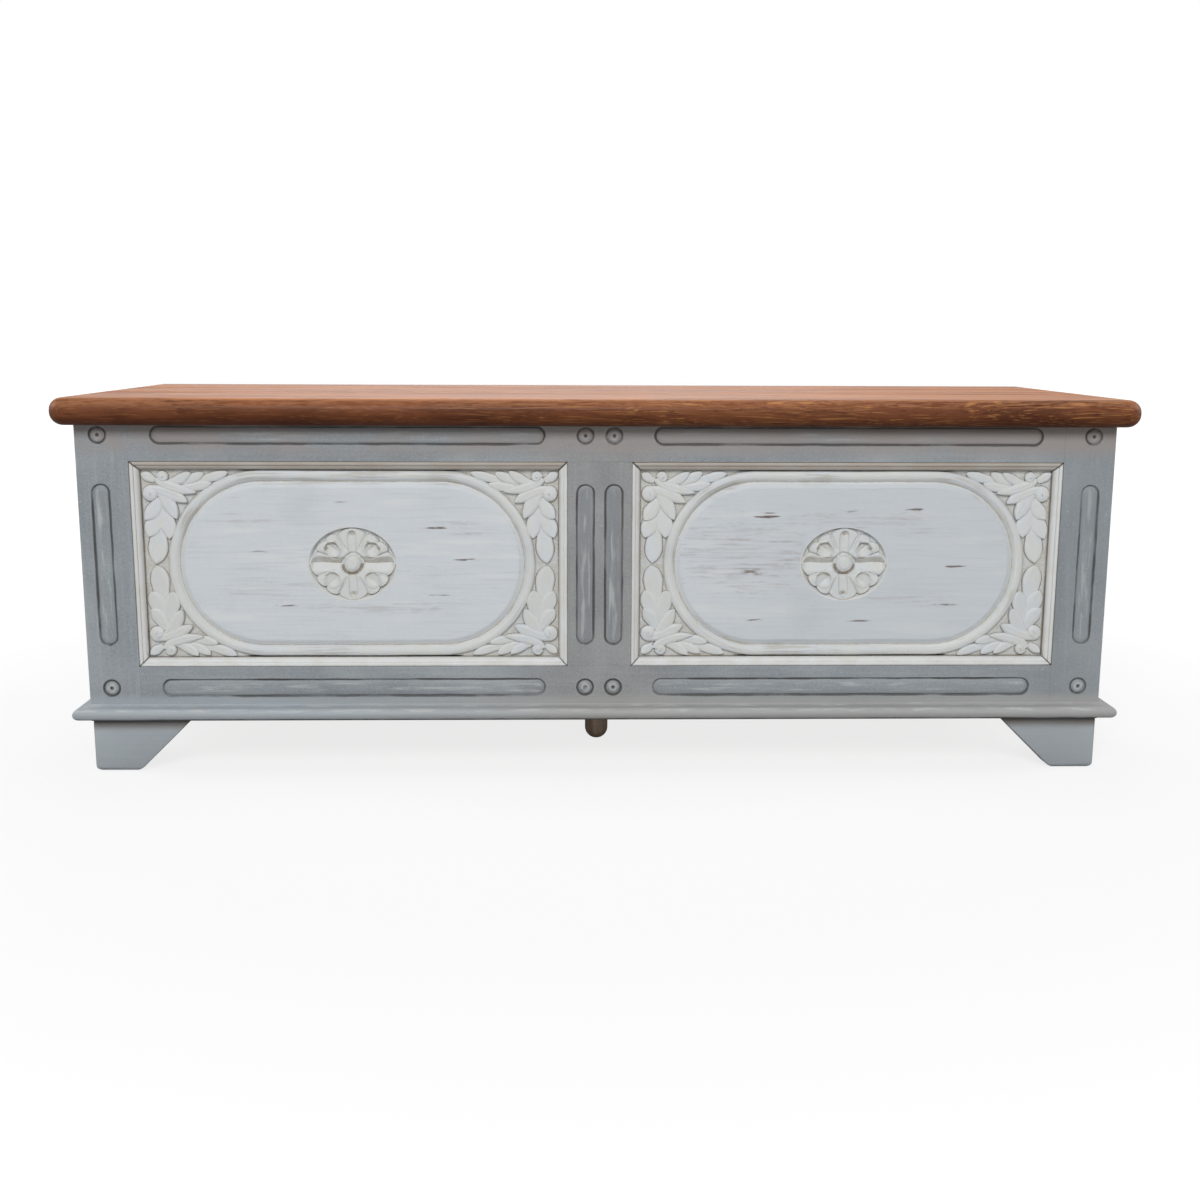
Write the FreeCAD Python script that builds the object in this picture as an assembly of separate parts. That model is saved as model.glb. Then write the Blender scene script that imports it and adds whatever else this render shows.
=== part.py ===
import FreeCAD, Part
import math
import os
from FreeCAD import Vector

# A joined blanket chest: framed panels on bracket feet, with a hinged plank lid.
# Millimetres, +Z up, front towards -Y. The origin is on the floor, under the middle of the lid.

# Lid
lid_width = 1200.0
lid_depth = 428.0
lid_thickness = 30.0
lid_overhang_front = 26.0
lid_overhang_side = 21.0
lid_overhang_back = 22.0
lid_edge_round = 14.0
lid_edge_flat = 2.0
lid_corner_extra = 4.0
lid_board_names = ("front", "middle", "back")

# Battens under the lid
batten_width = 45.0
batten_thickness = 20.0
batten_inset = 290.0
batten_end_gap = 10.0
batten_screw_inset = 25.0

# Carcass frame
foot_height = 60.0
carcass_height = 336.0
frame_thickness = 28.0
post_width = 58.0
post_depth = 46.0
top_rail_height = 40.0
bottom_rail_height = 63.0
muntin_width = 72.0

# Mortise and tenon joints
tenon_thickness = 10.0
tenon_shoulder = 3.0
tenon_past_peg = 2.0
post_end_wood = 12.0
post_web = 7.0

# Pegs, and the lines on which pegs and reeds lie
peg_diameter = 8.0
peg_length = 22.0
peg_head_diameter = 15.0
peg_head_height = 3.0
peg_dome_height = 1.6
peg_ring_width = 1.5
peg_sink = 2.0
punch_diameter = 3.0
punch_depth = 1.5
post_line = 26.0
muntin_line = 16.0
top_line_drop = 11.0
bottom_line_rise = 38.5

# Reeds carved in the front frame
reed_width = 19.0
reed_channel = 2.0
reed_depth = 2.5
reed_round = 2.0
reed_least_wall = 0.3
reed_end_margin = 25.0

# Panels
panel_setback = 8.0
panel_thickness = 14.0
tongue_rebate = 2.0
tongue_thickness = 8.0
tongue_width = 8.0
tongue_end_gap = 1.0
tongue_web = 2.0
panel_edge_gap = 0.5

# Carving of the front panels
ring_side_margin = 39.5
ring_edge_gap = 0.5
ring_band = 12.0
cove_width = 7.0
cove_depth = 2.5
relief_depth = 4.5
rosette_width = 99.0
rosette_height = 85.0
rosette_depth = 4.0
button_diameter = 20.0
button_dome = 2.0

# Beading around the front panels
beading_width = 11.5
beading_flat = 5.0
beading_sink = 1.0
beading_step = 2.0

# Bottom of the chest
bottom_board_thickness = 14.0
bottom_board_gap = 0.5
bottom_board_names = ("front", "middle", "back")
bearer_width = 40.0
bearer_height = 24.0
bearer_housing = 8.0
ledger_thickness = 20.0
ledger_height = 16.0

# Base moulding
moulding_height = 24.0
moulding_projection = 17.6
moulding_nose = 10.6

# Feet
foot_inset = 2.0
foot_toe_width = 50.0
foot_top_width = 111.0
foot_thickness = 20.0
foot_block_size = 24.0
foot_block_lift = 4.0
centre_foot_diameter = 28.0
centre_foot_lift = 2.0
centre_foot_setback = 130.0
spigot_diameter = 16.0
spigot_length = 18.0

# Hinges
hinge_inset = 121.0
hinge_length = 76.0
leaf_width = 25.0
leaf_thickness = 2.5
knuckle_diameter = 9.0
knuckle_count = 5
pin_diameter = 4.5
pin_head_diameter = 7.0
pin_head_height = 2.0
leaf_screw_inset = 12.0

# Screws: countersunk wood screws
batten_screw_length = 36.0
hinge_screw_length = 16.0
screw_diameter = 4.0
screw_head_diameter = 7.5
screw_head_height = 2.0
screw_tip_length = 4.0
screw_slot_width = 1.0
screw_slot_depth = 1.0

# Clearances
fit_gap = 0.1
lid_gap = 0.3
hinge_gap = 0.3
pin_gap = 0.05
pocket_gap = 0.6
end_gap = 1.0

# Main faces and levels
body_half_width = lid_width / 2 - lid_overhang_side
front_face = lid_overhang_front - lid_depth / 2
back_face = lid_depth / 2 - lid_overhang_back
carcass_bottom = foot_height
carcass_top = foot_height + carcass_height
lid_bottom = carcass_top + lid_gap
lid_top = lid_bottom + lid_thickness

# Openings of the frame, and the joinery around them
post_inner = body_half_width - post_width
front_post_back = front_face + post_depth
back_post_front = back_face - post_depth
muntin_half = muntin_width / 2
opening_bottom = carcass_bottom + bottom_rail_height
opening_top = carcass_top - top_rail_height
opening_height = (opening_bottom, opening_top)
opening_middle = (opening_bottom + opening_top) / 2
groove_depth = tongue_width + tongue_end_gap
tongue_depth = (panel_setback + tongue_rebate, panel_setback + tongue_rebate + tongue_thickness)
tenon_depth = ((frame_thickness - tenon_thickness) / 2, (frame_thickness + tenon_thickness) / 2)
end_tenon_length = post_depth - tenon_depth[1] - post_web
muntin_tenon_half = muntin_half - groove_depth - tongue_web

rail_rows = {
    "top": (opening_top, carcass_top),
    "bottom": (carcass_bottom, opening_bottom),
}
tenon_rows = {
    "top": (opening_top + groove_depth + tongue_web, carcass_top - tenon_shoulder),
    "bottom": (carcass_bottom + tenon_shoulder, opening_bottom - groove_depth - tongue_web),
}
peg_rows = {
    "top": carcass_top - top_line_drop,
    "bottom": carcass_bottom + bottom_line_rise,
}
wall_names = ("front", "back", "left_end", "right_end")
inward = {
    "front": Vector(0, 1, 0),
    "back": Vector(0, -1, 0),
    "left_end": Vector(1, 0, 0),
    "right_end": Vector(-1, 0, 0),
}

# Hinge axis, behind the back face and midway between the two leaves
pin_y = back_face + knuckle_diameter / 2 + hinge_gap
pin_z = carcass_top + lid_gap / 2


# Plain shapes

def block(x, y, z):
    """A box between three pairs of limits."""
    return Part.makeBox(x[1] - x[0], y[1] - y[0], z[1] - z[0], Vector(x[0], y[0], z[0]))


def grown(span, gap):
    """A pair of limits moved apart by a gap at each end."""
    return (span[0] - gap, span[1] + gap)


def around(middle, width):
    """A pair of limits on both sides of a middle."""
    return (middle - width / 2, middle + width / 2)


def prism(points, direction):
    """A flat polygon pushed along a direction."""
    return Part.Face(Part.makePolygon(points + [points[0]])).extrude(direction)


def line(start, end):
    return Part.LineSegment(start, end).toShape()


def arc(start, middle, end):
    return Part.Arc(start, middle, end).toShape()


def dome_on(cylinder, apex, direction, radius, height):
    """Round the end of a cylinder to a shallow dome; direction points from the apex inwards."""
    sphere_radius = (radius ** 2 + height ** 2) / (2 * height)
    return cylinder.common(Part.makeSphere(sphere_radius, apex + direction * sphere_radius))


def stadium(start, end, radius, depth):
    """A long round-ended plate in the front face, between two (x, z) centres and two depths."""
    along = Vector(end[0] - start[0], 0, end[1] - start[1]).normalize() * radius
    across = Vector(-along.z, 0, along.x)
    first = Vector(start[0], front_face + depth[0], start[1])
    last = Vector(end[0], front_face + depth[0], end[1])
    wire = Part.Wire([
        line(first + across, last + across),
        arc(last + across, last + along, last - across),
        line(last - across, first - across),
        arc(first - across, first - along, first + across),
    ])
    return Part.Face(wire).extrude(Vector(0, depth[1] - depth[0], 0))


# Places in a wall: a span along it, a depth inwards from its outer face, and a height

def wall_block(wall, along, depth, height):
    if wall == "front":
        return block(along, (front_face + depth[0], front_face + depth[1]), height)
    if wall == "back":
        return block(along, (back_face - depth[1], back_face - depth[0]), height)
    if wall == "left_end":
        return block((depth[0] - body_half_width, depth[1] - body_half_width), along, height)
    return block((body_half_width - depth[1], body_half_width - depth[0]), along, height)


def wall_point(wall, along, height):
    """A point on a wall's outer face."""
    if wall == "front":
        return Vector(along, front_face, height)
    if wall == "back":
        return Vector(along, back_face, height)
    if wall == "left_end":
        return Vector(-body_half_width, along, height)
    return Vector(body_half_width, along, height)


def is_long(wall):
    return wall in ("front", "back")


def between_posts(wall):
    if is_long(wall):
        return (-post_inner, post_inner)
    return (front_post_back, back_post_front)


def bays(wall):
    """Each panel opening of a wall, by the end of its name."""
    if is_long(wall):
        return {"_left": (-post_inner, -muntin_half), "_right": (muntin_half, post_inner)}
    return {"": between_posts(wall)}


def tenon_length(wall):
    if is_long(wall):
        return post_width - post_end_wood
    return end_tenon_length


# Pegs and screws

def post_peg_places(wall):
    if is_long(wall):
        return (post_line - body_half_width, body_half_width - post_line)
    return (front_post_back - end_tenon_length / 2, back_post_front + end_tenon_length / 2)


def muntin_peg_places(wall):
    if is_long(wall):
        return (-muntin_line, muntin_line)
    return ()


def peg_points(wall):
    """Every peg of a wall, as points on its outer face."""
    places = post_peg_places(wall) + muntin_peg_places(wall)
    return [wall_point(wall, along, height) for height in peg_rows.values() for along in places]


def peg(wall, point):
    """A turned peg: a shank, and a domed head with a punched middle."""
    into = inward[wall]
    seat = point + into * peg_sink
    apex = seat - into * peg_head_height
    head = Part.makeCylinder(peg_head_diameter / 2, peg_head_height, seat, into * -1)
    head = dome_on(head, apex, into, peg_head_diameter / 2, peg_dome_height)
    shank = Part.makeCylinder(peg_diameter / 2, peg_length, seat, into)
    punch = Part.makeCylinder(punch_diameter / 2, punch_depth, apex, into)
    return head.fuse(shank).cut(punch)


def peg_hole(wall, point):
    """The bore for a peg, with the ring-shaped sinking around its head."""
    into = inward[wall]
    depth = peg_sink + peg_length + end_gap
    bore = Part.makeCylinder(peg_diameter / 2 + fit_gap, depth, point, into)
    sinking = Part.makeCylinder(peg_head_diameter / 2 + peg_ring_width, peg_sink, point, into)
    return bore.fuse(sinking)


def screw_body(point, rise, length, gap):
    """The outside of a screw from the middle of its head; rise is 1 upwards and -1 downwards."""
    way = Vector(0, 0, rise)
    radius = screw_diameter / 2 + gap
    head_radius = screw_head_diameter / 2 + gap
    head = Part.makeCone(head_radius, radius, screw_head_height, point, way)
    shank = Part.makeCylinder(radius, length - screw_tip_length, point, way)
    tip_start = point + way * (length - screw_tip_length)
    tip = Part.makeCone(radius, 0, screw_tip_length + gap, tip_start, way)
    return head.fuse([shank, tip])


def screw(point, rise, length):
    """A slotted countersunk screw."""
    slot_end = point.z + rise * screw_slot_depth
    slot_height = (min(point.z, slot_end), max(point.z, slot_end))
    slot = block(around(point.x, screw_head_diameter), around(point.y, screw_slot_width), slot_height)
    return screw_body(point, rise, length, 0).cut(slot)


# Frame members

def panel_seat(wall, bay):
    """The groove around a panel opening, with room for the tongue to move."""
    height = grown(opening_height, groove_depth)
    return wall_block(wall, grown(bay, groove_depth), grown(tongue_depth, fit_gap), height)


def panel_seats(wall):
    return [panel_seat(wall, bay) for bay in bays(wall).values()]


def peg_holes(wall):
    return [peg_hole(wall, point) for point in peg_points(wall)]


def rail_mortises(wall):
    """Mortises in the posts for the rails of a wall."""
    along = grown(between_posts(wall), tenon_length(wall) + end_gap)
    depth = grown(tenon_depth, fit_gap)
    return [wall_block(wall, along, depth, grown(row, fit_gap)) for row in tenon_rows.values()]


def muntin_tenon_height():
    reach = peg_diameter / 2 + tenon_past_peg
    return (peg_rows["bottom"] - reach, peg_rows["top"] + reach)


def muntin_mortise(wall):
    along = grown(around(0, 2 * muntin_tenon_half), fit_gap)
    return wall_block(wall, along, grown(tenon_depth, fit_gap), grown(muntin_tenon_height(), end_gap))


def housing(wall):
    """The notch in a bottom rail that takes an end of the middle bearer."""
    depth = (frame_thickness - bearer_housing - fit_gap, frame_thickness)
    height = (carcass_bottom, carcass_bottom + bearer_height + fit_gap)
    return wall_block(wall, grown(around(0, bearer_width), fit_gap), depth, height)


def reed_channel_cut(start, end):
    """The channel that is cut around one reed, which leaves a bar with rounded edges."""
    radius = reed_width / 2
    depth = (0, reed_depth)
    bar = stadium(start, end, radius - reed_channel, depth)
    front_edges = [edge for edge in bar.Edges if edge.BoundBox.YMax < front_face + reed_depth / 2]
    bar = bar.makeFillet(min(reed_round, reed_depth - reed_least_wall), front_edges)
    return stadium(start, end, radius, depth).cut(bar)


def upright_reed(x):
    inset = reed_end_margin + reed_width / 2
    return reed_channel_cut((x, opening_bottom + inset), (x, opening_top - inset))


def rail_reeds(row):
    inset = reed_end_margin + reed_width / 2
    height = peg_rows[row]
    return [reed_channel_cut((bay[0] + inset, height), (bay[1] - inset, height))
            for bay in bays("front").values()]


def rail(wall, row):
    along = between_posts(wall)
    body = wall_block(wall, along, (0, frame_thickness), rail_rows[row])
    tenon = wall_block(wall, grown(along, tenon_length(wall)), tenon_depth, tenon_rows[row])
    cuts = panel_seats(wall) + peg_holes(wall)
    if is_long(wall):
        cuts.append(muntin_mortise(wall))
    if is_long(wall) and row == "bottom":
        cuts.append(housing(wall))
    if wall == "front":
        cuts.extend(rail_reeds(row))
    return body.fuse(tenon).cut(cuts)


def muntin(wall):
    body = wall_block(wall, around(0, muntin_width), (0, frame_thickness), opening_height)
    tenon = wall_block(wall, around(0, 2 * muntin_tenon_half), tenon_depth, muntin_tenon_height())
    cuts = panel_seats(wall) + peg_holes(wall)
    if wall == "front":
        cuts.extend([upright_reed(-muntin_line), upright_reed(muntin_line)])
    return body.fuse(tenon).cut(cuts)


def post_limits(side, wall):
    """Limits in x and y of a corner post; side is -1 on the left and 1 on the right."""
    x = tuple(sorted((side * post_inner, side * body_half_width)))
    y = (front_face, front_post_back) if wall == "front" else (back_post_front, back_face)
    return x, y


def post(side, wall):
    x, y = post_limits(side, wall)
    body = block(x, y, (carcass_bottom, carcass_top))
    end_wall = "left_end" if side < 0 else "right_end"
    cuts = []
    for each in (wall, end_wall):
        cuts += rail_mortises(each) + panel_seats(each) + peg_holes(each)
    if wall == "front":
        cuts.append(upright_reed(side * (body_half_width - post_line)))
    return body.cut(cuts)


# Panels and their carving

def plain_panel(wall, bay):
    """A panel with a tongue all round, which lies in the grooves of its frame."""
    field_depth = (panel_setback, panel_setback + panel_thickness)
    field_height = grown(opening_height, -panel_edge_gap)
    field = wall_block(wall, grown(bay, -panel_edge_gap), field_depth, field_height)
    tongue_height = grown(opening_height, tongue_width)
    return field.fuse(wall_block(wall, grown(bay, tongue_width), tongue_depth, tongue_height))


def panel_oval(bay, inset, depth):
    """A round-ended oval on a front panel, a stated way inside the edge of the carved band."""
    middle = (bay[0] + bay[1]) / 2
    radius = (opening_top - opening_bottom) / 2 - beading_width - ring_edge_gap
    reach = (bay[1] - bay[0]) / 2 - ring_side_margin - radius
    start = (middle - reach, opening_middle)
    end = (middle + reach, opening_middle)
    return stadium(start, end, radius - inset, depth)


def rosette_cut(bay):
    """The sunk oval of the rosette, around its round button."""
    surface = front_face + panel_setback
    middle = Vector((bay[0] + bay[1]) / 2, surface, opening_middle)
    depth = Vector(0, rosette_depth, 0)
    half_wide = middle + Vector(rosette_width / 2, 0, 0)
    half_tall = middle + Vector(0, 0, rosette_height / 2)
    oval = Part.Ellipse(half_wide, half_tall, middle)
    sunk = Part.Face(Part.Wire(oval.toShape())).extrude(depth)
    into = inward["front"]
    button = Part.makeCylinder(button_diameter / 2, rosette_depth, middle, into)
    button = dome_on(button, middle, into, button_diameter / 2, button_dome)
    return sunk.cut(button)


def carved_panel(bay):
    """A front panel: sunk spandrels outside an oval band, a cove inside it, and a rosette."""
    ground = (panel_setback, panel_setback + relief_depth)
    cove = (panel_setback, panel_setback + cove_depth)
    inside_beading = grown(opening_height, -beading_width)
    spandrels = wall_block("front", grown(bay, -beading_width), ground, inside_beading)
    spandrels = spandrels.cut(panel_oval(bay, 0, ground))
    channel = panel_oval(bay, ring_band, cove).cut(panel_oval(bay, ring_band + cove_width, cove))
    return plain_panel("front", bay).cut([spandrels, channel, rosette_cut(bay)])


def beading_strip(place, start, end):
    """One mitred strip; place turns (along, in from the frame, depth) into a point."""
    across = beading_width - beading_flat
    bead_top = beading_sink + beading_step
    sag = 1 - math.cos(math.pi / 4)
    bead_middle = (beading_width - across * sag, bead_top + (panel_setback - bead_top) * sag)
    corners = [
        place(start, 0, panel_setback),
        place(start, 0, beading_sink),
        place(start, beading_flat, beading_sink),
        place(start, beading_flat, bead_top),
    ]
    foot = place(start, beading_width, panel_setback)
    edges = [line(a, b) for a, b in zip(corners, corners[1:])]
    edges.append(arc(corners[-1], place(start, *bead_middle), foot))
    edges.append(line(foot, corners[0]))
    strip = Part.Face(Part.Wire(edges)).extrude(place(end, 0, 0) - place(start, 0, 0))
    mitre = [
        place(start, 0, 0),
        place(end, 0, 0),
        place(end - beading_width, beading_width, 0),
        place(start + beading_width, beading_width, 0),
    ]
    return strip.common(prism(mitre, Vector(0, panel_setback, 0)))


def beading(bay):
    """Four strips around a front panel, mitred at the corners."""
    x = grown(bay, -fit_gap)
    z = grown(opening_height, -fit_gap)

    def top(along, across, depth):
        return Vector(along, front_face + depth, z[1] - across)

    def bottom(along, across, depth):
        return Vector(along, front_face + depth, z[0] + across)

    def left(along, across, depth):
        return Vector(x[0] + across, front_face + depth, along)

    def right(along, across, depth):
        return Vector(x[1] - across, front_face + depth, along)

    level = [beading_strip(place, x[0], x[1]) for place in (top, bottom)]
    upright = [beading_strip(place, z[0], z[1]) for place in (left, right)]
    return Part.makeCompound(level + upright)


# Bottom of the chest

board_bottom = carcass_bottom + bearer_height


def bottom_board(index):
    """One lengthwise bottom board, notched around the posts."""
    first = front_face + frame_thickness + fit_gap
    last = back_face - frame_thickness - fit_gap
    pitch = (last - first) / len(bottom_board_names)
    y = (first + index * pitch, first + (index + 1) * pitch - bottom_board_gap)
    end = body_half_width - frame_thickness - fit_gap
    board = block((-end, end), y, (board_bottom, board_bottom + bottom_board_thickness))
    notches = []
    for side in (-1, 1):
        for wall in ("front", "back"):
            limits = post_limits(side, wall)
            height = (board_bottom, board_bottom + bottom_board_thickness)
            notches.append(block(grown(limits[0], fit_gap), grown(limits[1], fit_gap), height))
    return board.cut(notches)


def ledger(side):
    """The strip on the inside of an end rail that carries the ends of the bottom boards."""
    outer = body_half_width - frame_thickness
    x = tuple(sorted((side * outer, side * (outer - ledger_thickness))))
    y = (front_post_back + fit_gap, back_post_front - fit_gap)
    return block(x, y, (board_bottom - ledger_height, board_bottom))


def centre_foot_places():
    return {"front": front_face + centre_foot_setback, "back": back_face - centre_foot_setback}


def bearer():
    """The piece across the middle, under the boards, with a socket for each middle foot."""
    reach = bearer_housing - frame_thickness
    y = (front_face - reach, back_face + reach)
    body = block(around(0, bearer_width), y, (carcass_bottom, board_bottom))
    radius = spigot_diameter / 2 + fit_gap
    depth = spigot_length + end_gap
    sockets = [Part.makeCylinder(radius, depth, Vector(0, place, carcass_bottom))
               for place in centre_foot_places().values()]
    return body.cut(sockets)


def centre_foot(place):
    """A turned foot with a round end, which stops a little above the floor."""
    radius = centre_foot_diameter / 2
    ball_middle = Vector(0, place, centre_foot_lift + radius)
    ball = Part.makeSphere(radius, ball_middle)
    stem = Part.makeCylinder(radius, carcass_bottom - ball_middle.z, ball_middle)
    spigot = Part.makeCylinder(spigot_diameter / 2, spigot_length, Vector(0, place, carcass_bottom))
    return ball.fuse([stem, spigot]).removeSplitter()


# Base moulding and bracket feet

def moulding_section(place):
    """The moulding's section: flat underside, round nose, sloping top; place takes (out, up)."""
    radius = moulding_nose / 2
    nose_out = moulding_projection - radius
    slope = math.hypot(nose_out, moulding_height - radius)
    lean = math.atan2(moulding_height - radius, -nose_out)
    turn = lean - math.acos(radius / slope)

    def on_nose(angle):
        return place(nose_out + radius * math.cos(angle), radius + radius * math.sin(angle))

    start = -math.pi / 2
    edges = [
        line(place(0, 0), on_nose(start)),
        arc(on_nose(start), on_nose((start + turn) / 2), on_nose(turn)),
        line(on_nose(turn), place(0, moulding_height)),
        line(place(0, moulding_height), place(0, 0)),
    ]
    return Part.Face(Part.Wire(edges))


def front_moulding():
    reach = body_half_width + moulding_projection

    def place(out, up):
        return Vector(-reach, front_face - out, carcass_bottom + up)

    length = moulding_section(place).extrude(Vector(2 * reach, 0, 0))
    plan = [
        Vector(-body_half_width, front_face, carcass_bottom),
        Vector(body_half_width, front_face, carcass_bottom),
        Vector(reach, front_face - moulding_projection, carcass_bottom),
        Vector(-reach, front_face - moulding_projection, carcass_bottom),
    ]
    return length.common(prism(plan, Vector(0, 0, moulding_height)))


def end_moulding(side):
    reach = body_half_width + moulding_projection
    front = front_face - moulding_projection

    def place(out, up):
        return Vector(side * (body_half_width + out), front, carcass_bottom + up)

    length = moulding_section(place).extrude(Vector(0, back_face - front, 0))
    plan = [
        Vector(side * body_half_width, front_face, carcass_bottom),
        Vector(side * reach, front, carcass_bottom),
        Vector(side * reach, back_face, carcass_bottom),
        Vector(side * body_half_width, back_face, carcass_bottom),
    ]
    return length.common(prism(plan, Vector(0, 0, moulding_height)))


def corner_point(side, wall, in_x, in_y, z):
    """A point measured inwards from the outer corner of a foot."""
    x = side * (body_half_width - foot_inset - in_x)
    y = front_face + foot_inset + in_y if wall == "front" else back_face - foot_inset - in_y
    return Vector(x, y, z)


def foot_bracket(side, wall, lengthwise):
    """One board of a bracket foot, mitred at the corner; lengthwise boards run along X."""
    def place(along, across, z):
        if lengthwise:
            return corner_point(side, wall, along, across, z)
        return corner_point(side, wall, across, along, z)

    face = [
        place(0, 0, 0),
        place(foot_toe_width, 0, 0),
        place(foot_top_width, 0, foot_height),
        place(0, 0, foot_height),
    ]
    board = prism(face, place(0, foot_thickness, 0) - place(0, 0, 0))
    plan = [
        place(0, 0, 0),
        place(foot_top_width, 0, 0),
        place(foot_top_width, foot_thickness, 0),
        place(foot_thickness, foot_thickness, 0),
    ]
    return board.common(prism(plan, Vector(0, 0, foot_height)))


def foot_block(side, wall):
    """The square block glued into the corner behind a foot's two boards."""
    first = corner_point(side, wall, foot_thickness, foot_thickness, foot_block_lift)
    inner = foot_thickness + foot_block_size
    last = corner_point(side, wall, inner, inner, foot_height)
    x = tuple(sorted((first.x, last.x)))
    y = tuple(sorted((first.y, last.y)))
    return block(x, y, (foot_block_lift, foot_height))


# Hinges

def knuckle_spans(x, member):
    """Shares of the pin's length that belong to the fixed leaf (0) or to the lid's leaf (1)."""
    pitch = hinge_length / knuckle_count
    start = x - hinge_length / 2
    return [(start + i * pitch, start + (i + 1) * pitch) for i in range(member, knuckle_count, 2)]


def along_pin(span, radius):
    """A cylinder on the hinge axis."""
    return Part.makeCylinder(radius, span[1] - span[0], Vector(span[0], pin_y, pin_z), Vector(1, 0, 0))


def leaf_screw_points(x, z):
    """Three screws in a row along a leaf."""
    reach = hinge_length / 2 - leaf_screw_inset
    return [Vector(x + step * reach, back_face - leaf_width / 2, z) for step in (-1, 0, 1)]


def hinge_leaf(x, member):
    """A leaf with its knuckles: member 0 lies on the back rail, member 1 in the lid."""
    level = carcass_top if member == 0 else lid_bottom
    height = (level - leaf_thickness, level) if member == 0 else (level, level + leaf_thickness)
    rise = -1 if member == 0 else 1
    plate = block(around(x, hinge_length), (back_face - leaf_width, pin_y), height)
    barrels = [along_pin(grown(span, -hinge_gap / 2), knuckle_diameter / 2)
               for span in knuckle_spans(x, member)]
    notch_width = knuckle_diameter + 2 * hinge_gap
    notches = [block(span, around(pin_y, notch_width), around(pin_z, notch_width))
               for span in knuckle_spans(x, 1 - member)]
    bore = along_pin(around(x, hinge_length), pin_diameter / 2 + pin_gap)
    holes = [screw_body(point, rise, hinge_screw_length, fit_gap) for point in leaf_screw_points(x, level)]
    return plate.cut(notches).fuse(barrels).cut([bore] + holes)


def hinge_pin(x):
    """A pin with a head at each end."""
    span = around(x, hinge_length)
    parts = [along_pin(span, pin_diameter / 2)]
    parts.append(along_pin((span[0] - pin_head_height, span[0]), pin_head_diameter / 2))
    parts.append(along_pin((span[1], span[1] + pin_head_height), pin_head_diameter / 2))
    return parts[0].fuse(parts[1:])


def hinge_places():
    """The middle of each hinge, a stated way in from the inner side of a back post."""
    reach = post_inner - hinge_inset
    return {"left": -reach, "right": reach}


def lid_hinge_cuts(x):
    """The leaf's recess, the pocket over the knuckles and the screw holes in the lid."""
    sides = grown(around(x, hinge_length), fit_gap)
    depth = (back_face - leaf_width - fit_gap, pin_y)
    recess = block(sides, depth, (lid_bottom, lid_bottom + leaf_thickness))
    pocket_span = grown(around(x, hinge_length), pin_head_height + hinge_gap)
    pocket = along_pin(pocket_span, knuckle_diameter / 2 + pocket_gap)
    points = leaf_screw_points(x, lid_bottom)
    return [recess, pocket] + [screw_body(point, 1, hinge_screw_length, fit_gap) for point in points]


def rail_hinge_cuts(x):
    """The leaf's recess and the screw holes in the back top rail."""
    sides = grown(around(x, hinge_length), fit_gap)
    depth = (back_face - leaf_width - fit_gap, back_face)
    recess = block(sides, depth, (carcass_top - leaf_thickness, carcass_top))
    points = leaf_screw_points(x, carcass_top)
    return [recess] + [screw_body(point, -1, hinge_screw_length, fit_gap) for point in points]


# Lid

def lid_blank():
    """The whole lid: rounded front corners, and a rounded edge at the front and both ends."""
    edge_round = min(lid_edge_round, (lid_thickness - lid_edge_flat) / 2)
    y = around(0, lid_depth)
    blank = block(around(0, lid_width), y, (lid_bottom, lid_top))
    front_corners = [edge for edge in blank.Edges
                     if edge.BoundBox.ZLength > lid_thickness / 2 and edge.BoundBox.YMax < 0]
    blank = blank.makeFillet(edge_round + lid_corner_extra, front_corners)
    rim = [edge for edge in blank.Edges
           if edge.BoundBox.ZLength < lid_thickness / 2 and edge.BoundBox.YMin < y[1] - lid_edge_flat]
    return blank.makeFillet(edge_round, rim)


def batten_limits():
    y = (front_face + frame_thickness + batten_end_gap, back_face - frame_thickness - batten_end_gap)
    return y, (lid_bottom - batten_thickness, lid_bottom)


def batten_places():
    """The middle of each batten, a stated way in from the end of the lid."""
    reach = lid_width / 2 - batten_inset
    return {"left": -reach, "right": reach}


def batten_screw_points(x):
    y, z = batten_limits()
    places = (y[0] + batten_screw_inset, (y[0] + y[1]) / 2, y[1] - batten_screw_inset)
    return [Vector(x, place, z[0]) for place in places]


def all_batten_screw_points():
    return [point for x in batten_places().values() for point in batten_screw_points(x)]


def batten_screw_holes():
    return [screw_body(point, 1, batten_screw_length, fit_gap) for point in all_batten_screw_points()]


def batten(x):
    y, z = batten_limits()
    return block(around(x, batten_width), y, z).cut(batten_screw_holes())


def lid_board(index):
    """One board of the lid, cut from the blank."""
    pitch = lid_depth / len(lid_board_names)
    start = index * pitch - lid_depth / 2
    slab = block(around(0, lid_width), (start, start + pitch), (lid_bottom, lid_top))
    cuts = batten_screw_holes()
    for x in hinge_places().values():
        cuts.extend(lid_hinge_cuts(x))
    return lid_blank().common(slab).cut(cuts)


# Every piece, by name

pieces = {}

for index, name in enumerate(lid_board_names):
    pieces["lid_board_" + name] = lid_board(index)
for name, x in batten_places().items():
    pieces["lid_batten_" + name] = batten(x)
pieces["lid_batten_screws"] = Part.makeCompound(
    [screw(point, 1, batten_screw_length) for point in all_batten_screw_points()])

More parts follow.
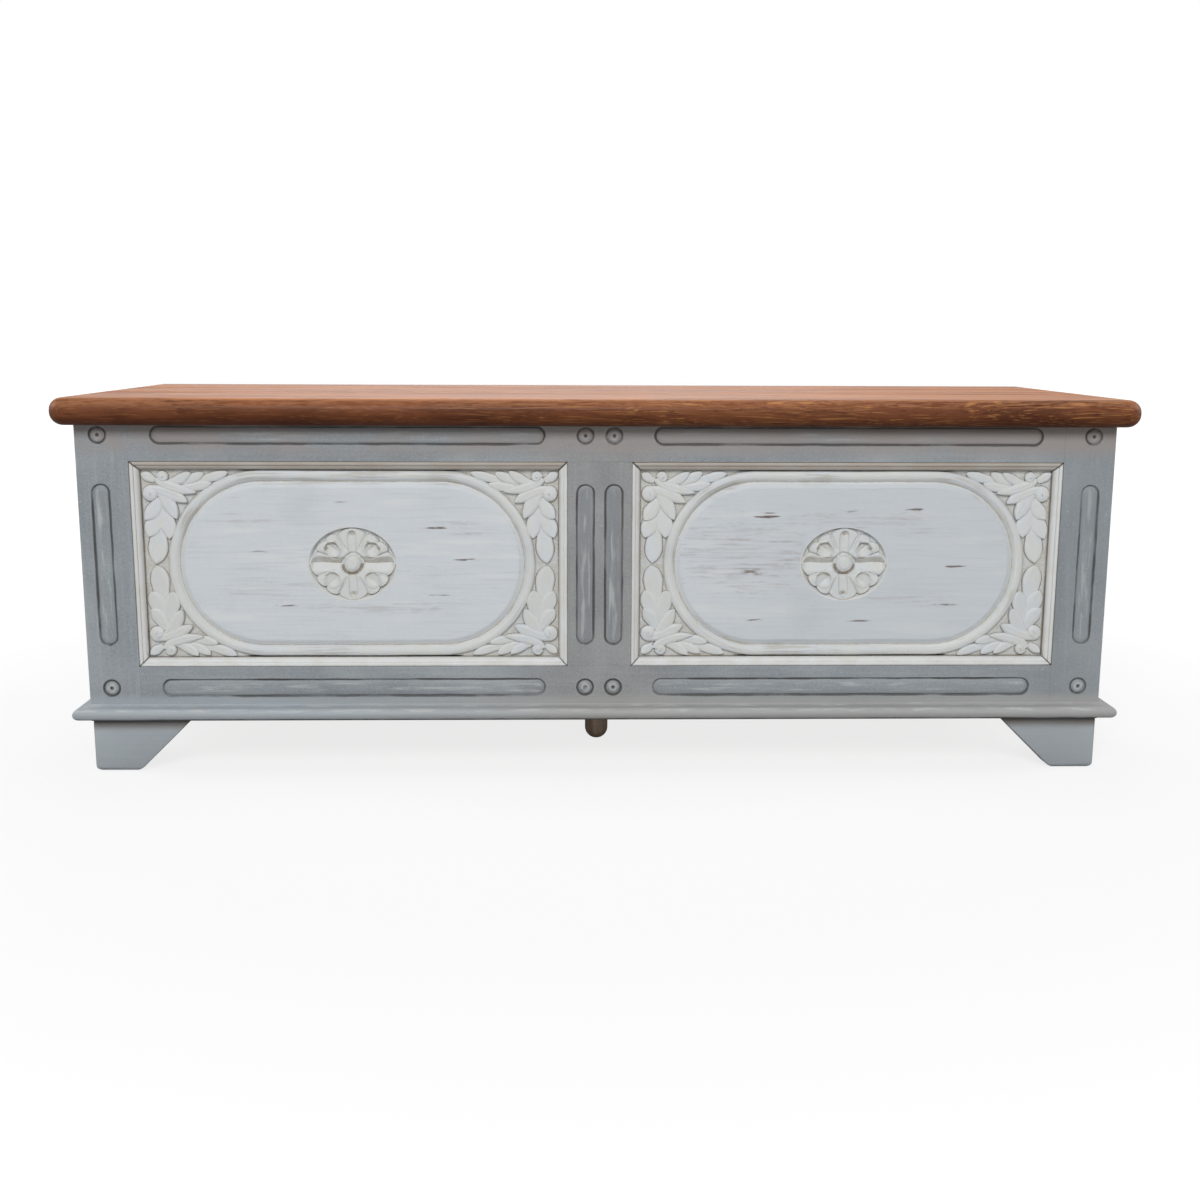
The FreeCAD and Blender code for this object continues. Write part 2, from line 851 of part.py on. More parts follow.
for side, side_name in ((-1, "left"), (1, "right")):
    for wall in ("front", "back"):
        pieces["post_" + wall + "_" + side_name] = post(side, wall)
for wall in wall_names:
    for row in rail_rows:
        pieces[wall + "_" + row + "_rail"] = rail(wall, row)
    if is_long(wall):
        pieces[wall + "_muntin"] = muntin(wall)
    for name, bay in bays(wall).items():
        panel = carved_panel(bay) if wall == "front" else plain_panel(wall, bay)
        pieces[wall + "_panel" + name] = panel
for name, bay in bays("front").items():
    pieces["front_beading" + name] = beading(bay)
for group, walls in (("front", ["front"]), ("back", ["back"]), ("end", ["left_end", "right_end"])):
    pegs = [peg(wall, point) for wall in walls for point in peg_points(wall)]
    pieces[group + "_pegs"] = Part.makeCompound(pegs)

for index, name in enumerate(bottom_board_names):
    pieces["bottom_board_" + name] = bottom_board(index)
pieces["left_ledger"] = ledger(-1)
pieces["right_ledger"] = ledger(1)
pieces["centre_bearer"] = bearer()
for name, place in centre_foot_places().items():
    pieces["centre_foot_" + name] = centre_foot(place)

pieces["base_moulding_front"] = front_moulding()
pieces["base_moulding_left"] = end_moulding(-1)
pieces["base_moulding_right"] = end_moulding(1)
foot_blocks = []
for side, side_name in ((-1, "left"), (1, "right")):
    for wall in ("front", "back"):
        foot_name = "foot_" + wall + "_" + side_name
        pieces[foot_name + "_long_bracket"] = foot_bracket(side, wall, True)
        pieces[foot_name + "_end_bracket"] = foot_bracket(side, wall, False)
        foot_blocks.append(foot_block(side, wall))
pieces["foot_blocks"] = Part.makeCompound(foot_blocks)

fixed_screws = []
lid_screws = []
for name, x in hinge_places().items():
    pieces["hinge_" + name + "_fixed_leaf"] = hinge_leaf(x, 0)
    pieces["hinge_" + name + "_lid_leaf"] = hinge_leaf(x, 1)
    pieces["back_top_rail"] = pieces["back_top_rail"].cut(rail_hinge_cuts(x))
    fixed_screws += [screw(point, -1, hinge_screw_length) for point in leaf_screw_points(x, carcass_top)]
    lid_screws += [screw(point, 1, hinge_screw_length) for point in leaf_screw_points(x, lid_bottom)]
pieces["hinge_pins"] = Part.makeCompound([hinge_pin(x) for x in hinge_places().values()])
pieces["hinge_fixed_screws"] = Part.makeCompound(fixed_screws)
pieces["hinge_lid_screws"] = Part.makeCompound(lid_screws)

os.makedirs("parts", exist_ok=True)
for name, shape in pieces.items():
    shape.exportStep("parts/" + name + ".step")
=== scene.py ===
import math

import bmesh
import bpy
import numpy as np
from mathutils import Matrix, Vector


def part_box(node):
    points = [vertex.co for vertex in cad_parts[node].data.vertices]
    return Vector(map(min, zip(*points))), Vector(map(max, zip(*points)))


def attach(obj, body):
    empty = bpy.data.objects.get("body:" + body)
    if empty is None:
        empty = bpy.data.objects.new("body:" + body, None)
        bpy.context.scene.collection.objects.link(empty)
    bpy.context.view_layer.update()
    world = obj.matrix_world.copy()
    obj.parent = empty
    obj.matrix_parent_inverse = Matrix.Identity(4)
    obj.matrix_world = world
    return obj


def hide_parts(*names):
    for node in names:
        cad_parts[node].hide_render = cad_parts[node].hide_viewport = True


# A painted blanket chest with a varnished lid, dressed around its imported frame.
# Metres, +Z up, front towards -Y. Sizes are written in millimetres times mm.

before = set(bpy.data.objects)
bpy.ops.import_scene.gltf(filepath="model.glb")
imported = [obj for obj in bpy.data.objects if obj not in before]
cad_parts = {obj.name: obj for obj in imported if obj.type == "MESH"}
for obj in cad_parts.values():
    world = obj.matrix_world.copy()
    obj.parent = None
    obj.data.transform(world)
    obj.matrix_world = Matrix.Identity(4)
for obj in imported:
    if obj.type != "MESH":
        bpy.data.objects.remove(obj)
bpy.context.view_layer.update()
mm = 0.001
side_signs = {"left": -1, "right": 1}
to_front = Vector((0, -1, 0))
to_back = Vector((0, 1, 0))

# Faces and levels, read from the frame
post_low, post_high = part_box("post_front_right")
back_post_low, back_post_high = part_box("post_back_right")
panel_low, panel_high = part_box("front_panel_left")
moulding_low, moulding_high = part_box("base_moulding_front")
lid_low, lid_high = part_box("lid_board_front")
lid_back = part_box("lid_board_back")[1].y
front_face = post_low.y
back_face = back_post_high.y
half_width = post_high.x
post_inner = post_low.x
front_post_back = post_high.y
back_post_front = back_post_low.y
carcass_bottom = post_low.z
carcass_top = post_high.z
opening_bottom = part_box("front_bottom_rail")[1].z
opening_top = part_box("front_top_rail")[0].z
muntin_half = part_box("front_muntin")[1].x
panel_surface = panel_low.y
panel_thickness = panel_high.y - panel_low.y

# Pegs of the frame
post_line = 26.0 * mm
muntin_line = 16.0 * mm
muntin_lines = (-muntin_line, muntin_line)
top_line = carcass_top - 11.0 * mm
bottom_line = carcass_bottom + 38.5 * mm
peg_heights = (bottom_line, top_line)
end_peg_inset = 10.0 * mm
peg_seat_radius = 9.8 * mm
peg_seat_depth = 2.2 * mm
peg_seat_wall = (-0.6 * mm, 0.3 * mm)
peg_seat_dirt_and_shade = (-0.4 * mm, 2.0 * mm)
peg_reach = peg_seat_radius + 1.5 * mm
peg_steps = 32
# A peg from its hidden end to its punched middle, with its seat's rim at height 0:
# radius and height in millimetres, dirt with painted shade, wear
peg_profile = [
    (0, -24, 0, 0), (4, -24, 0, 0), (4, -2, 0, 0), (7.6, -2, 1, 0), (7.9, -1.2, 0.8, 0),
    (7.6, -0.5, 0.5, 0.1), (6.6, 0.1, 0.15, 0.6), (5.0, 0.5, 0, 1.2), (3.2, 0.7, 0, 1.4),
    (2.1, 0.6, 0.3, 1.1), (1.7, -0.2, 1, 0), (1.2, -0.9, 1, 0), (0, -1.1, 1, 0),
]

# Reeds of the frame; pairs of bounds are measured inwards from a reed's outer edge
reed_radius = 10.2 * mm
reed_channel = 1.3 * mm
reed_depth = 2.1 * mm
reed_round = 7.0 * mm
reed_end_inset = 25.0 * mm + reed_radius
reed_wobble = 1.1 * mm
reed_wobble_scale = 55.0
reed_reach = reed_radius + 1.5 * mm
reed_end_run = 2.0 * mm
reed_wall = (-0.3 * mm, 0.8 * mm)
reed_dirt_and_shade = (-2.6 * mm, 0.3 * mm)
reed_clean = (reed_channel, reed_channel + 1.8 * mm)
reed_bar = (reed_channel + 0.8 * mm, reed_channel + 4.0 * mm)
face_slack = 0.05 * mm

# Edges of the frame, and the lines of its meshes
paint_depth = 20.5 * mm
paint_end = 2.0 * mm
joint_round = 0.2 * mm
joint_rounds = (joint_round,) * 4
corner_round = 2.6 * mm
corner_steps = 4
# Lines stay clear of a corner by this many of its radii
corner_clear = 1.3
support_gap = 2.0 * mm
end_ease = 0.25 * mm
edge_reach = 6.0 * mm
fine_pitch = 0.55 * mm
peg_pitch = 0.75 * mm
plain_pitch = 7.0 * mm
least_pitch = 0.25 * mm
weld_reach = 0.01 * mm
flat_angle = math.radians(0.5)
sharp_angle = math.radians(40.0)
ease_steps = 2

# Eases of the pieces that are copies of frame nodes
panel_ease = 0.6 * mm
ledger_ease = 0.8 * mm
batten_ease = 1.0 * mm
foot_ease = 1.2 * mm
lid_ease = 0.35 * mm
board_ease = 0.5 * mm
centre_foot_ease = 0.3 * mm
bearer_ease = 0.6 * mm
block_ease = 0.8 * mm

# Angles up to which edges are shaded smooth, in degrees
plain_smooth = 35.0
moulding_smooth = 40.0
panel_smooth = 48.0
beading_smooth = 50.0

# Ends of the bars, and of the reeds along a right-hand rail and up the posts and the muntin
rail_run = (-post_inner, post_inner)
end_rail_run = (front_post_back, back_post_front)
muntin_run = (opening_bottom, opening_top)
post_run = (carcass_bottom, carcass_top)
rail_reed = (muntin_half + reed_end_inset, post_inner - reed_end_inset)
upright_reed = (opening_bottom + reed_end_inset, opening_top - reed_end_inset)

# Beading of the front panels
panel_gap = 0.5 * mm
beading_width = 9.5 * mm
beading_flat = 4.4 * mm
beading_sink = 1.0 * mm
beading_step = 2.0 * mm
beading_ease = 0.7 * mm
beading_joint_dirt = beading_ease * 2.4
bead_steps = 6
bead_top_dirt = 0.2
bead_foot_dirt = 0.25
bead_wear = 0.5
mitre_gap = 0.55 * mm
mitre_dirt = (1.6 * mm, 0.4 * mm)
strip_steps = 24
# How much darker and browner each strip is painted
strip_darkness = {"bottom": 0.08, "right": 0.08, "top": 0.9, "left": 0.18}

# Front panels: bays, sunk ground and oval band
bay_half_width = (post_inner - muntin_half) / 2
bay_half_height = (opening_top - opening_bottom) / 2
bay_middle_x = (post_inner + muntin_half) / 2
bay_middle_z = (opening_top + opening_bottom) / 2
bay_middles = {"left": -bay_middle_x, "right": bay_middle_x}
panel_half = np.array([bay_half_width - panel_gap, bay_half_height - panel_gap])
ground_half = np.array([bay_half_width - beading_width, bay_half_height - beading_width])
ring_edge_gap = 0.5 * mm
ring_side_margin = 36.0 * mm
ring_radius = bay_half_height - panel_gap - beading_width - ring_edge_gap
ring_half_run = bay_half_width - panel_gap - ring_side_margin - ring_radius
ring_clearance = 0.1 * mm
least_slope = 1e-9
ring_sway = 0.16
ring_sway_turns = range(3, 9)
ring_sway_phase = 6.28
relief_depth = 3.6 * mm
bead_sink = relief_depth * 0.3
rays = 480
panel_seeds = {"left": 3, "right": 4}
# The ground's edge, inwards from the beading: inset, depth, hollow
ground_edge = [
    (0.0, 0.0, 0.8), (0.0, relief_depth, 1.05), (0.7 * mm, relief_depth, 1.0), (2.2 * mm, relief_depth, 0.62),
]
# Section of the oval band, inwards from its outer edge: inset and height in millimetres, hollow, carving
band_section = [
    (-2.5, -3.6, 0.62, 1.0), (0.0, -3.6, 0.85, 1.0), (0.3, -2.2, 0.4, 1.0), (0.9, -1.1, 0.15, 1.0),
    (2.0, -0.3, 0.0, 1.0), (3.6, 0.2, 0.0, 1.0), (5.4, 0.4, 0.0, 1.0), (7.0, 0.3, 0.0, 1.0),
    (8.4, -0.1, 0.0, 1.0), (9.7, -0.8, 0.1, 1.0), (10.9, -1.9, 0.2, 1.0), (11.9, -3.0, 0.4, 1.0),
    (12.5, -3.5, 0.9, 1.0), (13.1, -3.3, 0.6, 0.7), (14.0, -2.8, 0.15, 0.55), (16.0, -1.6, 0.0, 0.5),
    (18.0, -0.4, 0.0, 0.45), (19.0, 0.0, 0.0, 0.3), (20.4, 0.05, 0.0, 0.0), (25.0, 0.0, 0.0, 0.0),
]
band_inner = (ring_radius - 22.0 * mm, ring_radius - 20.0 * mm)
band_outer = (ring_radius + 0.5 * mm, ring_radius - 0.5 * mm)

# Rosette, from the middle of its oval, in millimetres, or as a share of the oval's reach
rosette_half_x = 49.5
rosette_half_z = 42.0
rosette_rings = 96
rosette_least = 0.02
# Rings around the oval: share of its reach, height in millimetres, hollow, carving
rosette_border = [(1.1, 0.0, 0.0, 0.0), (1.03, 0.0, 0.0, 0.0), (1.008, -0.05, 0.1, 0.8)]
wall_depth = 5.4
wall_share = 0.1
wall_lean = 0.06
wall_start = 0.15
motif_top = -1.0
motif_swell = 0.6
motif_edge = 0.014
motif_fall = (0.35, 0.95)
# Dirt along the motif's outline, with painted shade that is stronger below, where its edges face down
outline_shade_width = 0.025
outline_shade_below = 0.9
outline_shade_above = 0.45
notch_angle = 22.0
notch_reach = 0.855
petal_reach = 0.97
petal_round = 0.7
lobe_reach = 0.93
lobe_rise = 2.0
lobe_start = (0.35, 0.75)
parting_depth = 1.5
parting_line = (0.1, 2.2)
parting_start = (0.33, 0.5)
crease_rise = 1.2
crease_depth = 4.4
upper_facet = 8.0
lower_facet = 9.0
groove_end = 46.5
groove_taper = 6.0
# Painted shade with some dirt on the side grooves' upper facet, which faces down
groove_shade = 0.75
groove_shade_edge = (0.0, 0.25)
least_taper = 0.01
channel_half = 5.6
channel_depth = 2.2
channel_square = 4
channel_end = 38.0
pit_rise = 34.0
pit_half_width = 4.0
pit_half_height = 2.8
pit_depth = 1.3
# Dirt in the channels' pits, and painted shade in the pits of the upper scoops
pit_dirt_and_shade = 0.95
channel_dirt = 0.3
scoop_middle = (22.5, 17.0)
scoop_radius = 8.4
scoop_depth = 3.4
scoop_round = 0.6
scoop_rim = 1.0
scoop_rim_reach = 1.1
scoop_rim_width = 0.1
# Painted shade, with some dirt, under each scoop's upper edge
scoop_shade = 0.85
scoop_shade_edge = (0.45, 0.85)
scoop_shade_rise = (0.1, 0.6)
scoop_shade_end = 1.04
# Small pits in the wall of an upper scoop
scoop_pits = [(18.6, 24.2), (29.6, 17.6)]
scoop_pit_radius = 3.0
scoop_pit_depth = 1.6
button_radius = 7.4
button_rise = 1.6
button_dome = 0.5
collar_radius = 12.6
collar_fall = 6.0
# Some dirt round the collar, and painted shade on its lower side
collar_shade = (button_radius, collar_radius - 2.5)
collar_shade_below = 1.0
collar_shade_above = 0.2
button_fall = (button_radius - 1.4, collar_radius)
moat_depth = 2.8
moat_wall = (collar_radius - 1.5, collar_radius + 2.0)
disc_radius = 6.8
disc_depth = 0.8
disc_line = 0.7
# How the hand that cut it strays: reach, ripple's share of it, and the lengths of the waves and ripples
hand_stray = 0.5
hand_ripple = 0.6
hand_waves = (6.0, 6.5)
hand_ripples = (4.5, 5.0)

# Leaves of a spandrel, measured from the beading's inner corner towards the panel's middle, in millimetres:
# base, bend, tip, width, and rise at the base and at the tip. A leaf's base lies under the tips before it.
corner_leaves = [
    ((15.5, 12), (9, 9), (1.2, 3.5), 11.5, 0.5, 0.85),
    ((18, 9), (22, 20), (62, 24.5), 13, 0.8, 1.0),
    ((30, 15), (42, 13), (55.5, 2.2), 12.5, 0.5, 0.95),
    ((44, 14), (57, 11), (70, 2.6), 12, 0.35, 0.85),
    ((46, 20), (62, 20), (78, 15), 11.5, 0.35, 0.85),
    ((62, 12), (80, 9), (98, 2.2), 12, 0.3, 0.75),
    ((13, 21.5), (28, 24), (50, 36.5), 15.5, 0.85, 0.95),
    ((19, 22), (28, 34), (38.8, 54.5), 17.5, 0.7, 1.0),
    ((20, 32), (15, 45), (4.0, 55), 17.5, 0.6, 1.0),
    ((22, 42), (29, 58), (29.0, 76.5), 19.5, 0.4, 0.85),
    ((20, 44), (12, 60), (5.6, 76), 20, 0.4, 0.85),
    ((17, 60), (16.5, 86), (12.5, 105.5), 22.5, 0.35, 0.75),
]
# Scrolls of a spandrel, in the same way: middle, radius, ribbon's share of the radius, first angle, sweep
corner_scrolls = [((10.4, 27.0), 10.2, 0.7, -48, -330), ((24.6, 8.2), 7.6, 0.5, 180, 430)]
# Half a leaf's section: a low foot of dirt and painted shadow, steep sides, a pillowed face; across, lift,
# worn edge
leaf_half_section = [
    (1.0, -0.35, 0.0), (1.1, 0.0, 0.0), (1.09, 0.04, 0.0), (1.0, 0.08, 0.0), (0.985, 0.4, 0.2),
    (0.94, 0.62, 0.6), (0.83, 0.78, 0.6), (0.62, 0.92, 0.2), (0.35, 1.0, 0.0), (0.15, 1.0, 0.0),
    (0.0, 0.95, 0.0),
]
leaf_height = 5.0 * mm
leaf_points = 17
leaf_clearance = 1.2
leaf_tip_stray = 1.2
leaf_width_stray = 0.06
leaf_dirt_and_shade = (0.1, 0.6)
# A leaf along its midrib, in shares of its length, width and rise
leaf_bunching = 1.4
leaf_base_width = 0.55
leaf_broad_from = 0.6
leaf_tip_power = 5
leaf_tip_round = 0.7
leaf_least_width = 0.03
leaf_rise_rate = 1.1
scroll_points = 34
scroll_wind = 0.8
scroll_rises = (0.9, 1.15)

# Base moulding, feet and hinges
moulding_drop = 4.4 * mm
moulding_lift = 3.2 * mm
moulding_tuck = 1.9 * mm
nose_radius = 7.0 * mm
nose_turn = math.radians(100.0)
nose_steps = 14
cove_bend = 1.2 * mm
cove_steps = 5
# Dirt in the moulding's small hollow, a painted highlight on it and on the top of its nose, and painted shade
# under its nose
cove_dirt = 0.35
cove_highlight = (0.7, 0.95)
nose_highlight = 0.98
nose_highlight_middle = 0.28
nose_highlight_spread = 0.2
nose_underside_shade = (0.6, 0.85)
toe_round = 6.0 * mm
toe_steps = 4
toe_slack = 0.25 * mm
hinge_leaf_thickness = 2.5 * mm
hinge_leaf_gap = 0.2 * mm
recess_overcut = 6.0 * mm

# Where the grey paint changes, starting and full, by height
paint_heights = {
    "above_feet": (carcass_bottom - 8.0 * mm, carcass_bottom - 2.0 * mm),
    # A lighter coat low down is painted light
    "lit_low_down": (carcass_bottom + 34.0 * mm, carcass_bottom + 22.0 * mm),
    # Dust and painted shade on the top rail, and painted shade with some soil under the lid
    "on_top_rail": (opening_top, carcass_top - 20.0 * mm),
    "under_lid": (carcass_top - 18.0 * mm, carcass_top - 2.0 * mm),
    # Under the moulding: dirt and painted shade on the band below it, soiled foot edges, and a dark line that
    # is partly painted shade
    "sheltered": (carcass_bottom + moulding_lift + 1.0 * mm, carcass_bottom + moulding_lift),
    "stain_and_shade": (carcass_bottom - 15.0 * mm, carcass_bottom - 4.0 * mm),
    "on_foot": (carcass_bottom - 2.0 * mm, carcass_bottom - 5.0 * mm),
    "below": (carcass_bottom - 4.0 * mm, carcass_bottom - 1.0 * mm),
}
# And from side to side: grey muntin, darker right end, warm lower right, more soil and painted shade under
# the lid on the right
muntin_fade = (muntin_half * 3, muntin_half)
darker_right_end = (half_width - 100.0 * mm, half_width - 50.0 * mm)
warm_side = (-250.0 * mm, 200.0 * mm)
soil_and_shade_side = (0.0, 300.0 * mm)

# Where the lid's colour changes, by height and towards the back
# Painted shade low on the front edge
lid_shade = (lid_low.z + 30.0 * mm, lid_low.z - 4.0 * mm)
# Painted light on the edge's upper rounding
lid_lit_rim = (lid_high.z - 12.0 * mm, lid_high.z - 5.0 * mm)
# A painted sheen on the top
lid_sheen_band = (lid_high.z - 3.0 * mm, lid_high.z - 0.5 * mm)
# Darker towards the back
lid_rear = (lid_back - 6.0 * mm, lid_back - 2.0 * mm)
# From left to right, where the grain opens
open_side = (-100.0 * mm, 400.0 * mm)
# How far the grain moves from one board to the next, and how far it bends and waves
board_shift = (0.73, 0.0, 0.31)
grain_bend = (0.0, 50.0 * mm, 50.0 * mm)
grain_wave = (0.0, 35.0 * mm, 35.0 * mm)
varnish_specular = 0.12
varnish_coat = 0.04
varnish_coat_roughness = 0.2

# Nicks and smears of the front panels, in millimetres:
# middle across, middle up, half length, half height, strength
nicks = {
    "left": [(-288, 310, 11, 1.2, 0.5), (-183, 281, 18, 1.6, 0.9), (-380, 254, 19, 1.3, 0.5),
             (-152, 245, 15, 1.7, 0.95), (-354, 192, 13, 1.5, 0.8), (-180, 204, 12, 1.4, 0.7)],
    "right": [(189, 294, 18, 2.2, 0.95), (190, 298, 11, 1.4, 0.7), (284, 300, 9, 1.3, 0.5),
              (358, 302, 13, 1.8, 0.9), (405, 237, 16, 1.6, 0.85), (397, 193, 18, 1.6, 0.7),
              (296, 174, 16, 1.6, 0.8), (175, 175, 13, 1.5, 0.8), (172, 231, 14, 3.6, 0.75)],
}
smears = {
    "left": [(-250, 190, 90, 9, 0.6), (-150, 280, 60, 10, 0.6), (-400, 290, 50, 9, 0.6),
             (-380, 210, 60, 14, 0.5)],
    "right": [(160, 275, 80, 8, 0.9), (150, 248, 75, 14, 0.9), (180, 215, 70, 8, 0.7), (340, 200, 90, 9, 0.5),
              (380, 275, 60, 8, 0.5), (165, 250, 115, 48, 0.8), (300, 290, 120, 12, 0.6)],
}

# Patterns of the finishes: scales along the grain and the two ways across it, or one scale, and then detail
grey_patterns = {
    "streaks": (12, 240, 240, 4), "sweeps": (5, 26, 26, 3), "scuffs": (34, 190, 190, 4),
    "breaks": (16, 30, 30, 3), "patches": (11, 3), "mottle": (560, 4), "specks": (230, 2),
}
panel_patterns = {
    "brush": (14, 60, 330, 5), "wide_brush": (8, 20, 90, 4), "scratches": (30, 60, 360, 3),
    "patches": (15, 3), "specks": (380, 3), "blots": (95, 3),
}
nick_patterns = {"ragged": (90, 60, 420, 4)}
beading_patterns = {"streaks": (40, 60, 40, 4), "patches": (17, 3), "specks": (400, 3)}
board_patterns = {
    "bends": (4, 14, 14, 3), "waves": (5, 30, 30, 2), "blotches": (9, 22, 22, 4), "flecks": (70, 330, 330, 4),
}
bent_patterns = {"figure": (3, 26, 26, 4), "fibres": (9, 200, 200, 4), "pores": (30, 1000, 1000, 2)}
waved_patterns = {"lines": (20, 760, 760, 4)}
plank_patterns = {"fibres": (3, 90, 90, 4), "figure": (1.2, 14, 14, 3), "pores": (14, 700, 700, 2)}
plank_wear_patterns = {"patches": (14, 3)}
foot_patterns = {"fibres": (160, 160, 12, 4), "rings": (8, 8, 260, 3)}
brass_patterns = {"patches": (90, 4), "scratches": (60, 900, 900, 3)}
# Streaks around the oval band: scales across the band and along it, detail
band_lanes = (520, 16, 3)

# Depth of the relief in each finish
grey_bump = 0.35 * mm
panel_bump = 0.3 * mm
beading_bump = 0.25 * mm
lid_bump = 0.15 * mm
wood_bump = 0.3 * mm
brass_bump = 0.05 * mm

# Floor and lamps
floor_reach = 12.0
floor_grey = 0.52
floor_roughness = 0.9
floor_glow = 1.12
floor_glow_share = 0.72
shadow_reach = 1.9
ambient = 0.18
lamp_target = Vector((0.0, 0.0, 0.22))
# Place, width, height and power of each lamp
lamps = {
    "lamp_front": ((-0.6, -4.6, 3.3), 2.9, 1.8, 212.0),
    "lamp_low": ((1.6, -3.2, 0.7), 1.6, 0.8, 9.0),
    "lamp_above": ((0.2, 0.3, 2.6), 2.0, 1.4, 11.0),
    "lamp_behind": ((-0.2, 3.6, 2.6), 2.6, 1.8, 48.0),
    "lamp_left": ((-3.6, 0.1, 1.8), 1.6, 1.2, 50.0),
    "lamp_right": ((3.6, 0.1, 1.8), 1.6, 1.2, 50.0),
}

# Camera, as the photograph was taken: picture and focal length in pixels, angles in radians
picture_side = 1200
focal_length = 1435
sensor_width = 36.0
camera_place = Vector((-40.8, -1784.9, 497.2)) * mm
camera_pitch = -0.184
camera_yaw = -0.026
camera_roll = 0.004


# Nodes written as expressions

class Link:
    """An output socket, whose arithmetic adds Math nodes to its tree."""

    def __init__(self, graph, socket):
        self.graph = graph
        self.socket = socket

    def out(self, name):
        """Another output of the same node."""
        return Link(self.graph, self.socket.node.outputs[name])

    def __add__(self, other):
        return self.graph.math("ADD", self, other)

    def __radd__(self, other):
        return self.graph.math("ADD", other, self)

    def __sub__(self, other):
        return self.graph.math("SUBTRACT", self, other)

    def __rsub__(self, other):
        return self.graph.math("SUBTRACT", other, self)

    def __mul__(self, other):
        return self.graph.math("MULTIPLY", self, other)

    def __rmul__(self, other):
        return self.graph.math("MULTIPLY", other, self)

    def __truediv__(self, other):
        return self.graph.math("DIVIDE", self, other)


class Graph:
    """A node tree that is built one node at a time."""

    def __init__(self, tree):
        self.tree = tree

    def node(self, kind, settings=None, inputs=None, output=0):
        made = self.tree.nodes.new(kind)
        for name, value in (settings or {}).items():
            setattr(made, name, value)
        for name, value in (inputs or {}).items():
            self.feed(made.inputs[name], value)
        return Link(self, made.outputs[output])

    def feed(self, socket, value):
        if isinstance(value, Link):
            self.tree.links.new(value.socket, socket)
        else:
            socket.default_value = value

    def math(self, operation, *values):
        return self.node("ShaderNodeMath", {"operation": operation}, dict(enumerate(values)))

    def vector(self, operation, *values, output="Vector"):
        settings = {"operation": operation}
        return self.node("ShaderNodeVectorMath", settings, dict(enumerate(values)), output)

    def dot(self, first, second):
        return self.vector("DOT_PRODUCT", first, second, output="Value")

    def scaled(self, vector, factor):
        settings = {"operation": "SCALE"}
        return self.node("ShaderNodeVectorMath", settings, {0: vector, "Scale": factor})

    def axes(self, place):
        """The three coordinates of a place."""
        x = self.node("ShaderNodeSeparateXYZ", None, {0: place}, "X")
        return x, x.out("Y"), x.out("Z")

    def joined(self, x=0.0, y=0.0, z=0.0):
        """A place from its coordinates."""
        return self.node("ShaderNodeCombineXYZ", None, {"X": x, "Y": y, "Z": z})

    def clamp(self, value):
        return self.math("MINIMUM", self.math("MAXIMUM", value, 0.0), 1.0)

    def ramp(self, value, start, full):
        """0 up to start, 1 from full on, and a smooth step between them; start may be the higher one."""
        settings = {"interpolation_type": "SMOOTHSTEP"}
        return self.node("ShaderNodeMapRange", settings, {"Value": value, 1: start, 2: full})

    def mix(self, factor, first, second):
        """A colour between two colours."""
        return self.node("ShaderNodeMix", {"data_type": "RGBA"}, {0: factor, 6: first, 7: second}, 2)

    def layered(self, colour, *layers):
        """A colour with others laid over it, one after another. A layer is a share and a colour.

        In a share, a ramp or a mark says where the layer lies, and a factor how strongly it covers.
        """
        for share, cover in layers:
            colour = self.mix(share, colour, cover)
        return colour

    def noise(self, place, scales, detail):
        stretched = self.vector("MULTIPLY", place, scales)
        return self.node("ShaderNodeTexNoise", None, {"Vector": stretched, "Scale": 1.0, "Detail": detail})

    def patterns(self, place, table, axis=0):
        """Noise for each row of a table of patterns, with the grain along one axis."""
        made = []
        for *scales, detail in table.values():
            turned = np.roll(scales * (3 // len(scales)), axis)
            made.append(self.noise(place, turned.tolist(), detail))
        return made

    def mark(self, name):
        """A mark that a mesh carries on its points, in a material."""
        return self.node("ShaderNodeAttribute", {"attribute_name": name}, None, "Fac")

    def stored(self, name, kind="FLOAT"):
        """A mark that a mesh carries on its points, in a geometry tree."""
        return self.node("GeometryNodeInputNamedAttribute", {"data_type": kind}, {"Name": name})

    def store(self, geometry, name, value):
        settings = {"data_type": "FLOAT", "domain": "POINT"}
        inputs = {"Geometry": geometry, "Name": name, "Value": value}
        return self.node("GeometryNodeStoreNamedAttribute", settings, inputs)

    def moved(self, geometry, **places):
        """A geometry whose points take a new Position, or go by an Offset."""
        return self.node("GeometryNodeSetPosition", None, {"Geometry": geometry} | places)


# Meshes

mark_names = ("hollow", "edge", "raised", "carving", "ends")


def put_marks(mesh, marks):
    for name, values in marks.items():
        mesh.attributes.new(name, "FLOAT", "POINT").data.foreach_set("value", values)


